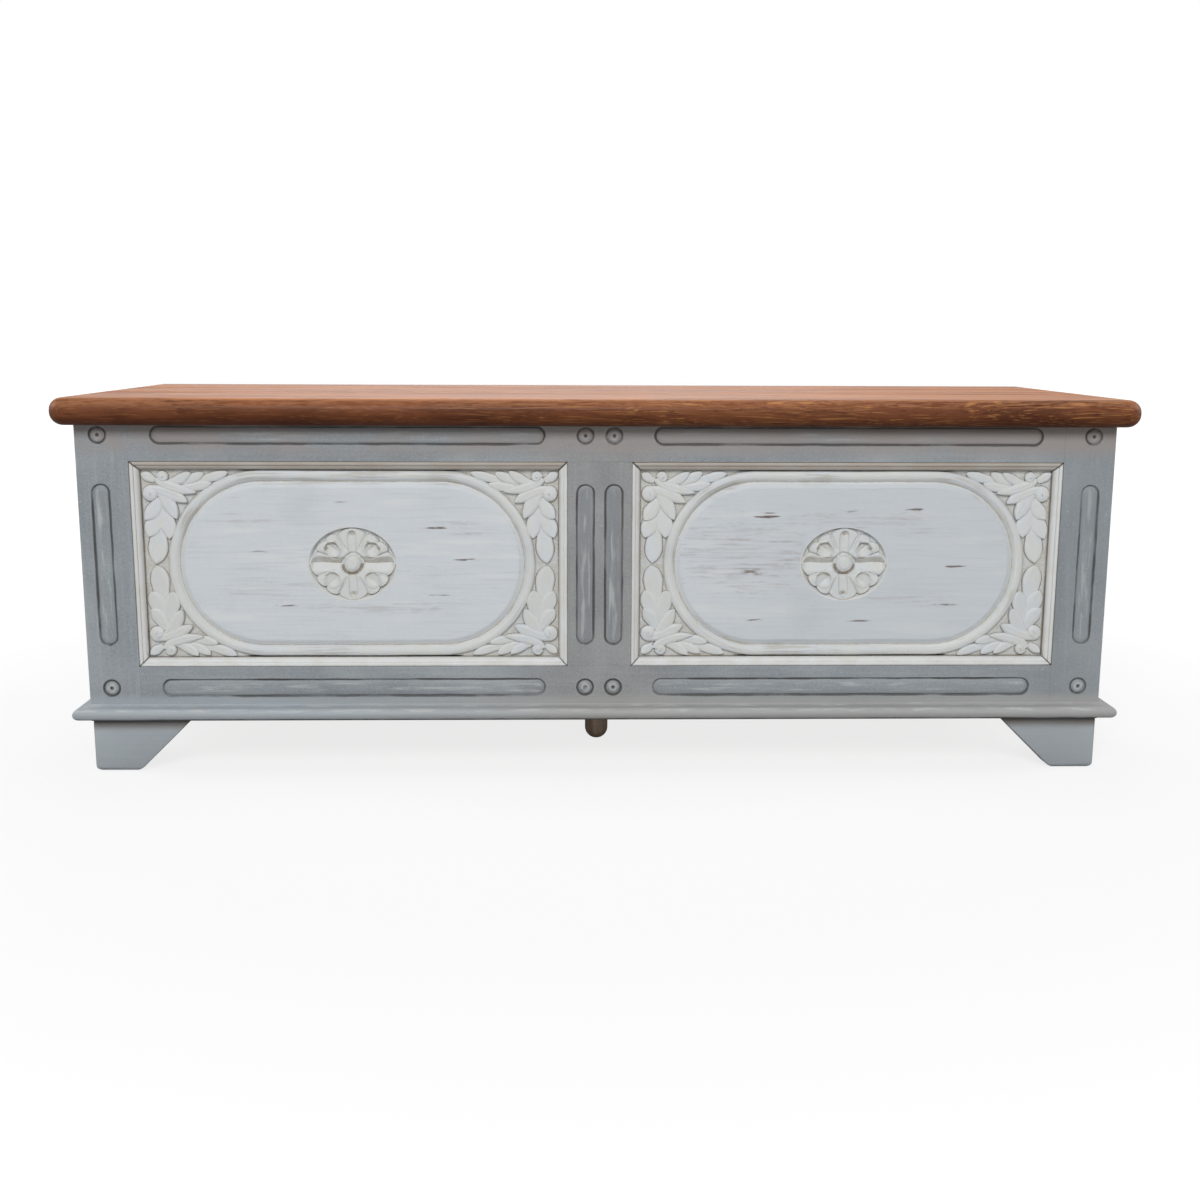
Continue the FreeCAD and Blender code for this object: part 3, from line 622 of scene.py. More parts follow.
class Skin:
    """Points, faces and marks that are gathered into one mesh."""

    def __init__(self):
        self.points = []
        self.faces = []
        self.marks = {name: [] for name in mark_names}

    def add(self, points, faces, **marks):
        start = len(self.points)
        self.points.extend(map(tuple, points))
        self.faces.extend(tuple(start + corner for corner in face) for face in faces)
        for name in mark_names:
            values = np.broadcast_to(marks.get(name, 0.0), len(points))
            self.marks[name].extend(values.tolist())

    def add_rings(self, rings, **marks):
        """Add closed rings of points, joined by quads one after another, with both ends capped."""
        size = len(rings[0])
        points = np.concatenate(rings)
        last = len(points) - size
        faces = []
        for start in range(0, last, size):
            for step in range(size):
                near = start + step
                beside = start + (step + 1) % size
                faces.append((near, beside, beside + size, near + size))
        faces += [tuple(range(size)), tuple(range(last, last + size))]
        self.add(points, faces, **marks)

    def add_mesh(self, mesh, **marks):
        """Add a finished mesh, with the marks that it carries."""
        for name in mark_names:
            if name in mesh.attributes:
                marks[name] = np.array([item.value for item in mesh.attributes[name].data])
        points = [vertex.co for vertex in mesh.vertices]
        self.add(points, [tuple(polygon.vertices) for polygon in mesh.polygons], **marks)

    def mesh(self, name):
        made = bpy.data.meshes.new(name)
        made.from_pydata([tuple(map(float, point)) for point in self.points], [], self.faces)
        put_marks(made, self.marks)
        return made


def smooth_step(value, low, high):
    share = np.clip((value - low) / (high - low), 0, 1)
    return share * share * (3 - 2 * share)


def bent_line(share, start, bend, end):
    """A point on the curve that leaves start towards bend and reaches end."""
    return (1 - share) ** 2 * start + 2 * share * (1 - share) * bend + share ** 2 * end


def framed(columns, origin):
    """A matrix that turns X, Y and Z into three ways, and moves to an origin."""
    matrix = Matrix(columns).transposed().to_4x4()
    matrix.translation = origin
    return matrix


def face_outwards(mesh, smooth_angle):
    """Turn every face outwards, and shade all but the sharper edges smooth."""
    work = bmesh.new()
    work.from_mesh(mesh)
    bmesh.ops.recalc_face_normals(work, faces=work.faces)
    work.to_mesh(mesh)
    work.free()
    mesh.shade_smooth()
    mesh.set_sharp_from_angle(angle=math.radians(smooth_angle))


def linked(name, data):
    made = bpy.data.objects.new(name, data)
    bpy.context.scene.collection.objects.link(made)
    return made


def piece(name, mesh, material, body, slot, *nodes, smooth_angle=plain_smooth):
    """A finished piece that rides on a body and stands for the nodes it replaces."""
    face_outwards(mesh, smooth_angle)
    mesh.materials.clear()
    mesh.materials.append(material)
    made = linked(name, mesh)
    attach(made, body)
    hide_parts(*nodes)


# Geometry trees

def new_tree(name, sizes):
    """A geometry tree with named inputs, its graph, and its inputs as links."""
    tree = bpy.data.node_groups.new(name, "GeometryNodeTree")
    tree.interface.new_socket("Geometry", in_out="INPUT", socket_type="NodeSocketGeometry")
    for label, kind in (sizes | {"Material": "Material"}).items():
        tree.interface.new_socket(label, in_out="INPUT", socket_type="NodeSocket" + kind)
    tree.interface.new_socket("Geometry", in_out="OUTPUT", socket_type="NodeSocketGeometry")
    graph = Graph(tree)
    entry = tree.nodes.new("NodeGroupInput")
    given = {socket.name: Link(graph, socket) for socket in entry.outputs if socket.name}
    return tree, graph, given


def close_tree(graph, geometry, given):
    whole = graph.node("GeometryNodeRealizeInstances", None, {"Geometry": geometry})
    dressed = graph.node("GeometryNodeSetMaterial", None, {"Geometry": whole, "Material": given["Material"]})
    last = graph.tree.nodes.new("NodeGroupOutput")
    graph.feed(last.inputs["Geometry"], dressed)


def add_step(made, tree, values):
    """Give an object one more geometry step, with its inputs set by name."""
    step = made.modifiers.new(tree.name, "NODES")
    step.node_group = tree
    for item in tree.interface.items_tree:
        if item.in_out == "INPUT" and item.name in values:
            step[item.identifier] = values[item.name]


def settled(made):
    """The mesh that an object's geometry steps give; the object itself is deleted."""
    bpy.context.view_layer.update()
    shown = made.evaluated_get(bpy.context.evaluated_depsgraph_get())
    mesh = bpy.data.meshes.new_from_object(shown)
    bpy.data.objects.remove(made)
    return mesh


def carve_tree(name, sizes):
    """The start of a tree that cuts into one flat face, with a test for points on that face."""
    tree, graph, given = new_tree(name, {"Centre": "Vector", "Out": "Vector", "Depth": "Float"} | sizes)
    place = graph.node("GeometryNodeInputPosition")
    from_centre = graph.vector("SUBTRACT", place, given["Centre"])
    off_face = graph.math("ABSOLUTE", graph.dot(from_centre, given["Out"]))
    on_face = graph.math("LESS_THAN", off_face, face_slack)
    return tree, graph, given, from_centre, on_face


def cut_in(graph, given, on_face, depth, marks):
    """Store the marks of a cut, and then push its points in."""
    geometry = given["Geometry"]
    for name, value in marks.items():
        most = graph.math("MAXIMUM", graph.stored(name), value * on_face)
        geometry = graph.store(geometry, name, most)
    push = graph.scaled(given["Out"], depth * on_face * -1.0)
    close_tree(graph, graph.moved(geometry, Offset=push), given)


def make_reed_tree():
    """Cuts the channel around one reed, which leaves a round-edged bar between two round ends."""
    sizes = {"Run": "Vector", "Radius": "Float", "Channel": "Float", "Round": "Float", "Wobble": "Float"}
    tree, graph, given, from_centre, on_face = carve_tree("carve_reed", sizes)
    place = graph.node("GeometryNodeInputPosition")
    run = given["Run"]
    share = graph.clamp(graph.dot(from_centre, run) / graph.dot(run, run))
    reach = graph.vector("DISTANCE", from_centre, graph.scaled(run, share), output="Value")
    unsteady = (graph.noise(place, (reed_wobble_scale,) * 3, 1.0) - 0.5) * given["Wobble"]
    inside = given["Radius"] - reach + unsteady
    lean = 1.0 - graph.clamp((inside - given["Channel"]) / given["Round"])
    fall = 1.0 - graph.math("SQRT", 1.0 - lean * lean)
    depth = graph.ramp(inside, *reed_wall) * fall * given["Depth"]
    hollow = graph.ramp(inside, *reed_dirt_and_shade) * (1.0 - graph.ramp(inside, *reed_clean))
    cut_in(graph, given, on_face, depth, {"hollow": hollow, "raised": graph.ramp(inside, *reed_bar)})
    return tree


def make_seat_tree():
    """Sinks the round seat of one peg."""
    tree, graph, given, from_centre, on_face = carve_tree("sink_peg_seat", {"Radius": "Float"})
    outside = graph.vector("LENGTH", from_centre, output="Value") - given["Radius"]
    wall = 1.0 - graph.ramp(outside, *peg_seat_wall)
    hollow = 1.0 - graph.ramp(outside, *peg_seat_dirt_and_shade)
    cut_in(graph, given, on_face, wall * given["Depth"], {"hollow": hollow})
    return tree


def make_set_tree():
    """Sets a copy of one turned shape on each point, with its axis along the point's Out."""
    tree, graph, given = new_tree("set_copies", {"Shape": "Object"})
    shape = graph.node("GeometryNodeObjectInfo", None, {"Object": given["Shape"]}, "Geometry")
    outwards = graph.stored("out", "FLOAT_VECTOR")
    turned = graph.node("FunctionNodeAlignRotationToVector", {"axis": "Z"}, {"Vector": outwards})
    inputs = {"Points": given["Geometry"], "Instance": shape, "Rotation": turned}
    close_tree(graph, graph.node("GeometryNodeInstanceOnPoints", None, inputs), given)
    return tree


def swept(graph, path, section, scale=1.0):
    """A section, given as an object of edges, swept along a level path."""
    path = graph.node("GeometryNodeSetCurveNormal", {"mode": "Z_UP"}, {"Curve": path})
    section = graph.node("GeometryNodeObjectInfo", None, {"Object": section}, "Geometry")
    section = graph.node("GeometryNodeMeshToCurve", None, {"Mesh": section})
    inputs = {"Curve": path, "Profile Curve": section, "Fill Caps": True, "Scale": scale}
    return graph.node("GeometryNodeCurveToMesh", None, inputs)


def make_strip_tree():
    """Runs a section along X for a length, with each end cut square, as an inside mitre or as an outside one.

    The section's x is the way across the strip and its y is the way down. A mitre of 1 takes length off
    as the strip goes across, and a mitre of -1 adds it.
    """
    sizes = {"Section": "Object", "Length": "Float", "Start Mitre": "Float", "End Mitre": "Float",
             "Gap": "Float"}
    tree, graph, given = new_tree("mitred_strip", sizes)
    path = graph.node("GeometryNodeCurvePrimitiveLine", None, {"End": graph.joined(given["Length"])})
    path = graph.node("GeometryNodeResampleCurve", None, {"Curve": path, "Count": strip_steps})
    strip = swept(graph, path, given["Section"])
    x, y, z = graph.axes(graph.node("GeometryNodeInputPosition"))
    across = y * -1.0
    share = x / given["Length"]
    strip = graph.store(strip, "ends", graph.math("MINIMUM", share, 1.0 - share) * given["Length"])
    start = (across * given["Start Mitre"] + given["Gap"]) * (1.0 - share)
    end = (across * given["End Mitre"] + given["Gap"]) * share
    close_tree(graph, graph.moved(strip, Offset=graph.joined(start - end)), given)
    return tree


def make_leaf_tree():
    """Sweeps a section along each leaf's midrib, as wide and as high as the midrib's points say."""
    tree, graph, given = new_tree("carved_leaf", {"Section": "Object", "Relief": "Float"})
    midrib = graph.node("GeometryNodeMeshToCurve", None, {"Mesh": given["Geometry"]})
    leaf = swept(graph, midrib, given["Section"], graph.stored("half_width"))
    lift = graph.stored("lift")
    # Low on a leaf, the hollow mark is dirt and painted shadow
    leaf = graph.store(leaf, "hollow", 1.0 - graph.ramp(lift, *leaf_dirt_and_shade))
    x, y, z = graph.axes(graph.node("GeometryNodeInputPosition"))
    place = graph.joined(x, y, lift * graph.stored("rise") * given["Relief"])
    close_tree(graph, graph.moved(leaf, Position=place), given)
    return tree


reed_tree = make_reed_tree()
seat_tree = make_seat_tree()
set_tree = make_set_tree()
strip_tree = make_strip_tree()
leaf_tree = make_leaf_tree()


# Colours, as they show on screen

def srgb(red, green, blue):
    """A colour of 0 to 255 in the linear values that shaders take."""
    shown = [value / 255 for value in (red, green, blue)]
    linear = [value / 12.92 if value <= 0.04045 else ((value + 0.055) / 1.055) ** 2.4 for value in shown]
    return (*linear, 1.0)


grey_coat = srgb(131, 137, 142)
grey_thin = srgb(152, 157, 160)
grey_thick = srgb(110, 116, 120)
grey_lit = srgb(156, 163, 168)
grey_warm_lit = srgb(155, 154, 151)
dark_dirt_and_shade = srgb(58, 57, 55)
soil_and_shade = srgb(112, 103, 95)
dust_and_shade_grey = srgb(138, 131, 128)
pale_wear_and_highlight = srgb(182, 185, 185)
bare_tan = srgb(166, 142, 114)
field_coat = srgb(192, 197, 202)
field_thin = srgb(173, 179, 184)
field_cream = srgb(206, 208, 208)
smear_brown = srgb(150, 141, 138)
nick_brown = srgb(96, 78, 68)
carving_coat = srgb(195, 197, 196)
carving_white = srgb(206, 208, 208)
carving_cream = srgb(196, 195, 185)
carving_dirt_and_shade = srgb(150, 142, 126)
bead_taupe = srgb(150, 138, 126)
lid_deep = srgb(58, 25, 9)
lid_mid = srgb(94, 49, 26)
lid_light = srgb(128, 78, 48)
lid_golden = srgb(196, 138, 84)
lid_lit_orange = srgb(166, 114, 82)
lid_painted_sheen = srgb(184, 118, 68)
plank_mid = srgb(176, 142, 104)
plank_dark = srgb(142, 108, 74)
plank_light = srgb(198, 168, 128)
# Lighter than the dark wood of the middle feet, standing in for light in the shade under the chest
foot_dark = srgb(150, 130, 114)
foot_light = srgb(188, 168, 150)
brass_clean = srgb(176, 146, 88)
brass_dull = srgb(104, 84, 56)


# Materials

def new_material(name):
    """A material, its graph and its shader, with the object's own coordinates."""
    material = bpy.data.materials.new(name)
    material.use_nodes = True
    graph = Graph(material.node_tree)
    place = graph.node("ShaderNodeTexCoord", None, None, "Object")
    return material, graph, material.node_tree.nodes["Principled BSDF"], place


def dress(graph, shader, colour, roughness, height, depth):
    """Feed a shader its colour and roughness, and a bump of the stated depth."""
    graph.feed(shader.inputs["Base Color"], colour)
    graph.feed(shader.inputs["Roughness"], roughness)
    bump = graph.node("ShaderNodeBump", None, {"Strength": 1.0, "Distance": depth, "Height": height})
    graph.feed(shader.inputs["Normal"], bump)


def inside_chest(graph, place):
    """1 on what faces the inside of the chest, where there is no paint."""
    x, y, z = graph.axes(place)
    inside = graph.ramp(z, carcass_bottom, carcass_bottom + paint_end)
    walls = ((graph.math("ABSOLUTE", x), half_width, -1), (y, front_face, 1), (y, back_face, -1))
    for reach, face, inwards in walls:
        start = face + inwards * paint_depth
        inside = inside * graph.ramp(reach, start, start + inwards * paint_end)
    return inside


def plank_colours(graph, place, axis):
    """Colour and height of bare planed wood, with its grain along one axis."""
    fibres, figure, pores = graph.patterns(place, plank_patterns, axis)
    colour = graph.layered(
        plank_mid,
        (graph.ramp(figure, 0.3, 0.7), plank_light),
        (graph.ramp(fibres, 0.45, 0.75) * 0.8, plank_dark),
        (graph.ramp(pores, 0.6, 0.75) * 0.5, plank_dark))
    return colour, fibres * 0.7 + pores * 0.3


def grey_paint(name, axis):
    """Chalky grey paint, brushed along one axis, with dirt and painted shade in the hollows, and rubbed on
    the edges.
    """
    material, graph, shader, place = new_material(name)
    ramp = graph.ramp
    x, y, z = graph.axes(place)
    streaks, sweeps, scuffs, breaks, patches, mottle, specks = graph.patterns(place, grey_patterns, axis)
    hollow, edge, raised = [graph.mark(mark) for mark in ("hollow", "edge", "raised")]
    (above_feet, lit_low_down, on_top_rail, under_lid,
     sheltered, stain_and_shade, on_foot, below) = [ramp(z, *heights) for heights in paint_heights.values()]
    faded = ramp(graph.math("ABSOLUTE", x), *muntin_fade)
    colour = graph.layered(
        grey_coat,
        (ramp(streaks, 0.45, 0.75) * 0.5, grey_thin),
        (ramp(sweeps, 0.45, 0.75) * 0.55, grey_thick),
        (ramp(patches, 0.42, 0.72) * 0.6, grey_thin),
        (ramp(mottle, 0.5, 0.75) * 0.6, grey_thin),
        (ramp(mottle, 0.46, 0.25) * 0.6, grey_thick))
    inputs = {"Saturation": 1.0 - faded * 0.8, "Value": 1.0 - faded * 0.13, "Color": colour}
    colour = graph.node("ShaderNodeHueSaturation", None, inputs)
    # Low down the coat is painted lighter, standing in for light, and warmer on the right
    lit_low_coat = graph.mix(ramp(x + patches * 0.3, *warm_side) * above_feet, grey_lit, grey_warm_lit)
    dust_and_shade = ramp(patches + sweeps + ramp(x, 0.0, half_width) * 0.3, 0.75, 1.25)
    uneven = scuffs - 0.5
    # Dirt in the reeds' channels and the pegs' rings, with painted shade, and painted shade under the
    # moulding's nose
    dirt_and_shade_fill = hollow * (0.7 + ramp(breaks, 0.38, 0.62) * 0.36)
    dirt_and_shade = ramp(dirt_and_shade_fill + (mottle - 0.5) * 0.4 + uneven * 0.6, 0.45, 0.95)
    wood = plank_colours(graph, place, axis)[0]
    colour = graph.layered(
        colour,
        (ramp(specks, 0.71, 0.77) * 0.5, pale_wear_and_highlight),
        # The right end a little darker
        (ramp(x, *darker_right_end) * 0.3, grey_thick),
        (lit_low_down * 0.7, lit_low_coat),
        (raised * faded * 0.5, grey_thick),
        (ramp(raised * (scuffs + streaks) * 0.5, 0.48, 0.66) * 0.5, pale_wear_and_highlight),
        # Rubbed edges; on the base moulding the edge mark is a painted highlight instead
        (ramp(edge + uneven * 1.5, 0.8, 1.2) * 0.6, pale_wear_and_highlight),
        (ramp(edge + uneven * 1.7, 1.15, 1.35) * 0.5, bare_tan),
        # Dust and painted shade on the top rail, and painted shade with some soil under the lid
        (on_top_rail * dust_and_shade * 0.9, dust_and_shade_grey),
        (under_lid * (0.25 + patches * 0.5 + ramp(x, *soil_and_shade_side) * 0.3), soil_and_shade),
        # Under the moulding: dirt and painted shade on the band below it, soiled foot edges, and a dark line
        # that is partly painted shade
        (stain_and_shade * sheltered * (0.3 + patches * 0.7), soil_and_shade),
        (on_foot * ramp(edge + uneven * 0.8, 0.4, 0.9) * 0.7, soil_and_shade),
        (below * sheltered * (0.5 + patches * 0.5), dark_dirt_and_shade),
        (dirt_and_shade * 0.75, dark_dirt_and_shade),
        (inside_chest(graph, place), wood))
    dress(graph, shader, colour, 0.5 + streaks * 0.2 + dirt_and_shade * 0.15, streaks * 0.5 + mottle * 0.5, grey_bump)
    return material


def nick_mask(graph, place, marks):
    """Level marks in the paint, each with its middle, half length, half height and strength."""
    x, y, z = graph.axes(place)
    ragged, = graph.patterns(place, nick_patterns)
    worst = 0.0
    for middle_x, middle_z, half_length, half_height, strength in marks:
        along = (x - middle_x * mm) / (half_length * mm)
        up = (z - middle_z * mm) / (half_height * mm)
        far = graph.math("SQRT", along * along + up * up)
        nick = (1.0 - graph.ramp(far + (ragged - 0.5) * 2.4, 0.25, 1.0)) * strength
        worst = graph.math("MAXIMUM", worst, nick)
    return worst


def band_streaks(graph, place, middle_x):
    """Brush streaks that run around the oval band of a front panel, and 1 on that band."""
    x, y, z = graph.axes(place)
    past_run = graph.math("MAXIMUM", graph.math("ABSOLUTE", x - middle_x) - ring_half_run, 0.0)
    up = z - bay_middle_z
    reach = graph.math("SQRT", past_run * past_run + up * up)
    across, along, detail = band_lanes
    lanes = graph.noise(graph.joined(reach, x, z), (across, along, along), detail)
    return lanes, graph.ramp(reach, *band_inner) * graph.ramp(reach, *band_outer)


def panel_paint(name, middle_x, nicked=(), smeared=()):
    """Pale brushed paint on the field of a panel, and creamy paint on its carving, with dirt and painted
    shade in its hollows.
    """
    material, graph, shader, place = new_material(name)
    ramp = graph.ramp
    x = graph.axes(place)[0]
    brush, wide_brush, scratches, patches, specks, blots = graph.patterns(place, panel_patterns)
    hollow, edge, carving = [graph.mark(mark) for mark in ("hollow", "edge", "carving")]
    field = graph.layered(
        field_coat,
        (ramp(brush, 0.5, 0.75) * 0.5, field_thin),
        (ramp(wide_brush, 0.5, 0.75) * 0.6, field_cream),
        (ramp(patches, 0.55, 0.8) * 0.35, field_thin),
        (ramp(specks, 0.5, 0.8) * 0.35, field_cream),
        (ramp(x, 0.0, bay_middle_x) * 0.35, field_thin),
        (ramp(scratches, 0.69, 0.8) * 0.35, smear_brown),
        (nick_mask(graph, place, smeared) * ramp(brush + scratches, 0.85, 1.35) * 0.7, smear_brown),
        (nick_mask(graph, place, nicked), nick_brown))
    lanes, on_band = band_streaks(graph, place, middle_x)
    # Dirt in the carving's hollows, with painted shade around the leaves' feet and in the rosette's downward
    # cuts
    dirt_and_shade = ramp(hollow + (specks - 0.5) * 0.5 + (blots - 0.5) * 0.6, 0.3, 1.05)
    deep = ramp(hollow + (specks - 0.5) * 0.3 + (patches - 0.5) * 0.4, 0.8, 1.08)
    carved = graph.layered(
        carving_coat,
        (ramp(patches, 0.42, 0.62) * 0.7, field_coat),
        (ramp(blots, 0.46, 0.66) * 0.4, carving_cream),
        (ramp(lanes, 0.5, 0.7) * on_band * 0.8, carving_white),
        (ramp(lanes * patches, 0.27, 0.38) * on_band * 0.5, carving_dirt_and_shade),
        (edge * ramp(blots, 0.35, 0.55) * 0.8, carving_white),
        (dirt_and_shade * 0.75, carving_dirt_and_shade),
        (deep * 0.6, nick_brown))
    wood = plank_colours(graph, place, 0)[0]
    colour = graph.layered(
        field,
        (ramp(carving + (brush - 0.5) * 0.7, 0.4, 0.6), carved),
        (inside_chest(graph, place), wood))
    height = brush * 0.7 + specks * 0.3 + blots * carving * 1.6
    dress(graph, shader, colour, 0.5 + brush * 0.25, height, panel_bump)
    return material


def beading_paint():
    """The creamy paint of the beading, darker and browner along the top strip, and dark in its mitres."""
    material, graph, shader, place = new_material("beading_paint")
    ramp = graph.ramp
    streaks, patches, specks = graph.patterns(place, beading_patterns)
    hollow, darkness, ends = [graph.mark(mark) for mark in ("hollow", "carving", "ends")]
    tanned = ramp(hollow + (patches - 0.5) * 1.2 + darkness * 0.3, 0.5, 1.0)
    dirt_and_shade = ramp(hollow + (specks - 0.5) * 0.6 + (streaks - 0.5) * 0.8, 0.6, 1.1)
    colour = graph.layered(
        carving_white,
        (ramp(streaks, 0.4, 0.7) * 0.45, carving_cream),
        (darkness * (0.5 + patches * 0.6), bead_taupe),
        (tanned * (0.15 + darkness * 0.45), bare_tan),
        (dirt_and_shade * 0.7, carving_dirt_and_shade),
        (ramp(ends, *mitre_dirt) * (0.3 + darkness * 0.65), dark_dirt_and_shade))
    dress(graph, shader, colour, 0.5 + streaks * 0.2, streaks * 0.6 + specks * 0.4, beading_bump)
    return material


def lid_varnish():
    """Dark stained boards under a satin varnish, with the grain along their length."""
    material, graph, shader, place = new_material("lid_varnish")
    ramp = graph.ramp
    x, y, z = graph.axes(place)
    board = graph.math("FLOOR", (y - lid_low.y) / (lid_high.y - lid_low.y))
    own = graph.vector("ADD", place, graph.scaled(board_shift, board))
    bends, waves, blotches, flecks = graph.patterns(own, board_patterns)
    bent = graph.vector("ADD", own, graph.scaled(grain_bend, bends))
    figure, fibres, pores = graph.patterns(bent, bent_patterns)
    waved = graph.vector("ADD", own, graph.scaled(grain_wave, waves))
    lines, = graph.patterns(waved, waved_patterns)
    # Painted shade low on the front edge
    low = ramp(z, *lid_shade)
    open_grain = 0.35 + ramp(x + blotches * 0.4, *open_side) * 0.65
    colour = graph.layered(
        lid_mid,
        (ramp(figure, 0.3, 0.72), lid_light),
        (ramp(fibres, 0.45, 0.75) * 0.5, lid_deep),
        (ramp(pores, 0.58, 0.72) * 0.5, lid_deep),
        (ramp(blotches, 0.5, 0.72) * 0.6, lid_deep),
        (low * 0.75, lid_deep),
        # Painted light: a lighter orange on the edge's upper rounding, with the grain
        (ramp(z, *lid_lit_rim) * ramp(fibres + flecks, 0.8, 1.15) * 0.5, lid_lit_orange),
        (ramp(lines, 0.54, 0.66) * open_grain * (0.5 - low * 0.3), lid_golden),
        (ramp(flecks, 0.56, 0.68) * open_grain * 0.6, lid_deep),
        # A painted sheen on the top
        (ramp(z, *lid_sheen_band) * ramp(figure + fibres, 0.7, 1.3) * 0.8, lid_painted_sheen),
        (ramp(y, *lid_rear) * 0.8, lid_deep))
    shader.inputs["Specular IOR Level"].default_value = varnish_specular
    shader.inputs["Coat Weight"].default_value = varnish_coat
    shader.inputs["Coat Roughness"].default_value = varnish_coat_roughness
    roughness = 0.4 + fibres * 0.14 + blotches * 0.12
    dress(graph, shader, colour, roughness, fibres * 0.6 + pores * 0.4, lid_bump)
    return material


def plank_wood(name, axis):
    """Bare planed wood with its grain along one axis."""
    material, graph, shader, place = new_material(name)
    colour, fibres = plank_colours(graph, place, axis)
    patches, = graph.patterns(place, plank_wear_patterns)
    worn = graph.ramp(graph.mark("edge") + (patches - 0.5), 0.7, 1.2)
    colour = graph.mix(worn * 0.4, colour, plank_dark)
    dress(graph, shader, colour, 0.6 + fibres * 0.2, fibres, wood_bump)
    return material


def dark_foot_wood():
    """Dark turned wood of the middle feet, painted lighter than it is to make up for the shade under the
    chest.
    """
    material, graph, shader, place = new_material("dark_foot_wood")
    fibres, rings = graph.patterns(place, foot_patterns)
    colour = graph.layered(
        foot_dark,
        (graph.ramp(fibres, 0.35, 0.7), foot_light),
        (graph.ramp(rings, 0.5, 0.75) * 0.4, foot_dark))
    dress(graph, shader, colour, 0.5 + fibres * 0.2, fibres * 0.6 + rings * 0.4, wood_bump)
    return material


def old_brass():
    """Brass gone dull, with cleaner rubbed patches."""
    material, graph, shader, place = new_material("old_brass")
    patches, scratches = graph.patterns(place, brass_patterns)
    colour = graph.mix(graph.ramp(patches, 0.35, 0.65), brass_clean, brass_dull)
    shader.inputs["Metallic"].default_value = 1.0
    dress(graph, shader, colour, 0.3 + patches * 0.3, scratches * 0.5 + patches * 0.5, brass_bump)
    return material


# The grey paint and the planks, by the axis that their grain runs along
grain_ways = ("level", "deep", "upright")
grey_paints = [grey_paint("grey_paint_" + way, axis) for axis, way in enumerate(grain_ways)]
plank_woods = [plank_wood("plank_wood_" + way, axis) for axis, way in enumerate(("long", *grain_ways[1:]))]
paint_level, paint_deep = grey_paints[:2]
plank_long, plank_deep, plank_upright = plank_woods
panel_paints = {side: panel_paint("panel_paint_" + side, bay_middles[side], nicks[side], smears[side])
                for side in side_signs}
plain_panel_paint = panel_paint("panel_paint_plain", 0.0)
beading_coat = beading_paint()
varnish = lid_varnish()
foot_wood = dark_foot_wood()
brass = old_brass()


# Bars of the frame

def spread(low, high, pitch):
    """Even lines from low to high, no further apart than about a pitch."""
    return np.linspace(low, high, max(2, round((high - low) / pitch) + 1))


def merged_lines(low, high, *stretches):
    """Lines between two limits: plain ones all along, and fine ones over the (from, to, pitch) stretches."""
    plain = [line for line in spread(low, high, plain_pitch)
             if not any(start <= line <= end for start, end, pitch in stretches)]
    fine = [line for start, end, pitch in stretches for line in spread(start, end, pitch)]
    kept = []
    for line in sorted([low, high, *plain, *fine]):
        if low <= line <= high and (not kept or line - kept[-1] > least_pitch):
            kept.append(line)
    kept[-1] = high
    return kept


def section_loop(first, second, rounds, sides):
    """Points around a bar's section, and how near each is to an open corner.

    There are four quarter-round corners and four sides with their lines. first and second are limits on the
    section's two axes. The sides follow one another from the low corner: along first, up second, back along
    first and down second. Corners that are rounder than a joint lie open.
    """
    corners = [(first[0], second[0]), (first[1], second[0]), (first[1], second[1]), (first[0], second[1])]
    points = []
    for index, corner in enumerate(corners):
        radius = rounds[index]
        inward = (1 if index in (0, 3) else -1, 1 if index in (0, 1) else -1)
        for step in range(corner_steps + 1):
            angle = math.pi / 2 * (2 + index + step / corner_steps)
            swing = (math.cos(angle), math.sin(angle))
            points.append([corner[k] + radius * (inward[k] + swing[k]) for k in (0, 1)])
        axis = index % 2
        end = corners[(index + 1) % 4][axis]
        way = 1 if end > corner[axis] else -1
        start_clear = corner[axis] + way * radius * corner_clear
        end_clear = end - way * rounds[(index + 1) % 4] * corner_clear
        supports = [start_clear + way * support_gap, corner[axis] + way * edge_reach,
                    end - way * edge_reach, end_clear - way * support_gap]
        lines = sorted({round(line, 7) for line in [*sides[index], *supports]}, reverse=way < 0)
        for line in lines:
            if way * start_clear < way * line < way * end_clear:
                point = list(corner)
                point[axis] = line
                points.append(point)
    points = np.array(points)
    edge = np.zeros(len(points))
    for corner, radius in zip(corners, rounds):
        if radius > joint_round:
            far = np.abs(points - np.array(corner)).max(axis=1)
            edge = np.maximum(edge, np.clip(1 - far / edge_reach, 0, 1))
    return points, edge


def bar(axis, section, stations):
    """A skin of one section at each station along an axis, with capped and eased ends."""
    loop, edge = section
    low = loop.min(axis=0)
    high = loop.max(axis=0)
    ends = (stations[0], stations[-1])
    stops = [ends[0], ends[0] + end_ease, *stations[1:-1], ends[1] - end_ease, ends[1]]
    rings = []
    for stop in stops:
        inset = end_ease if stop in ends else 0.0
        ring = np.clip(loop, low + inset, high - inset)
        rings.append(np.insert(ring, axis, stop, axis=1))
    skin = Skin()
    skin.add_rings(rings, edge=np.tile(edge, len(stops)))
    return skin


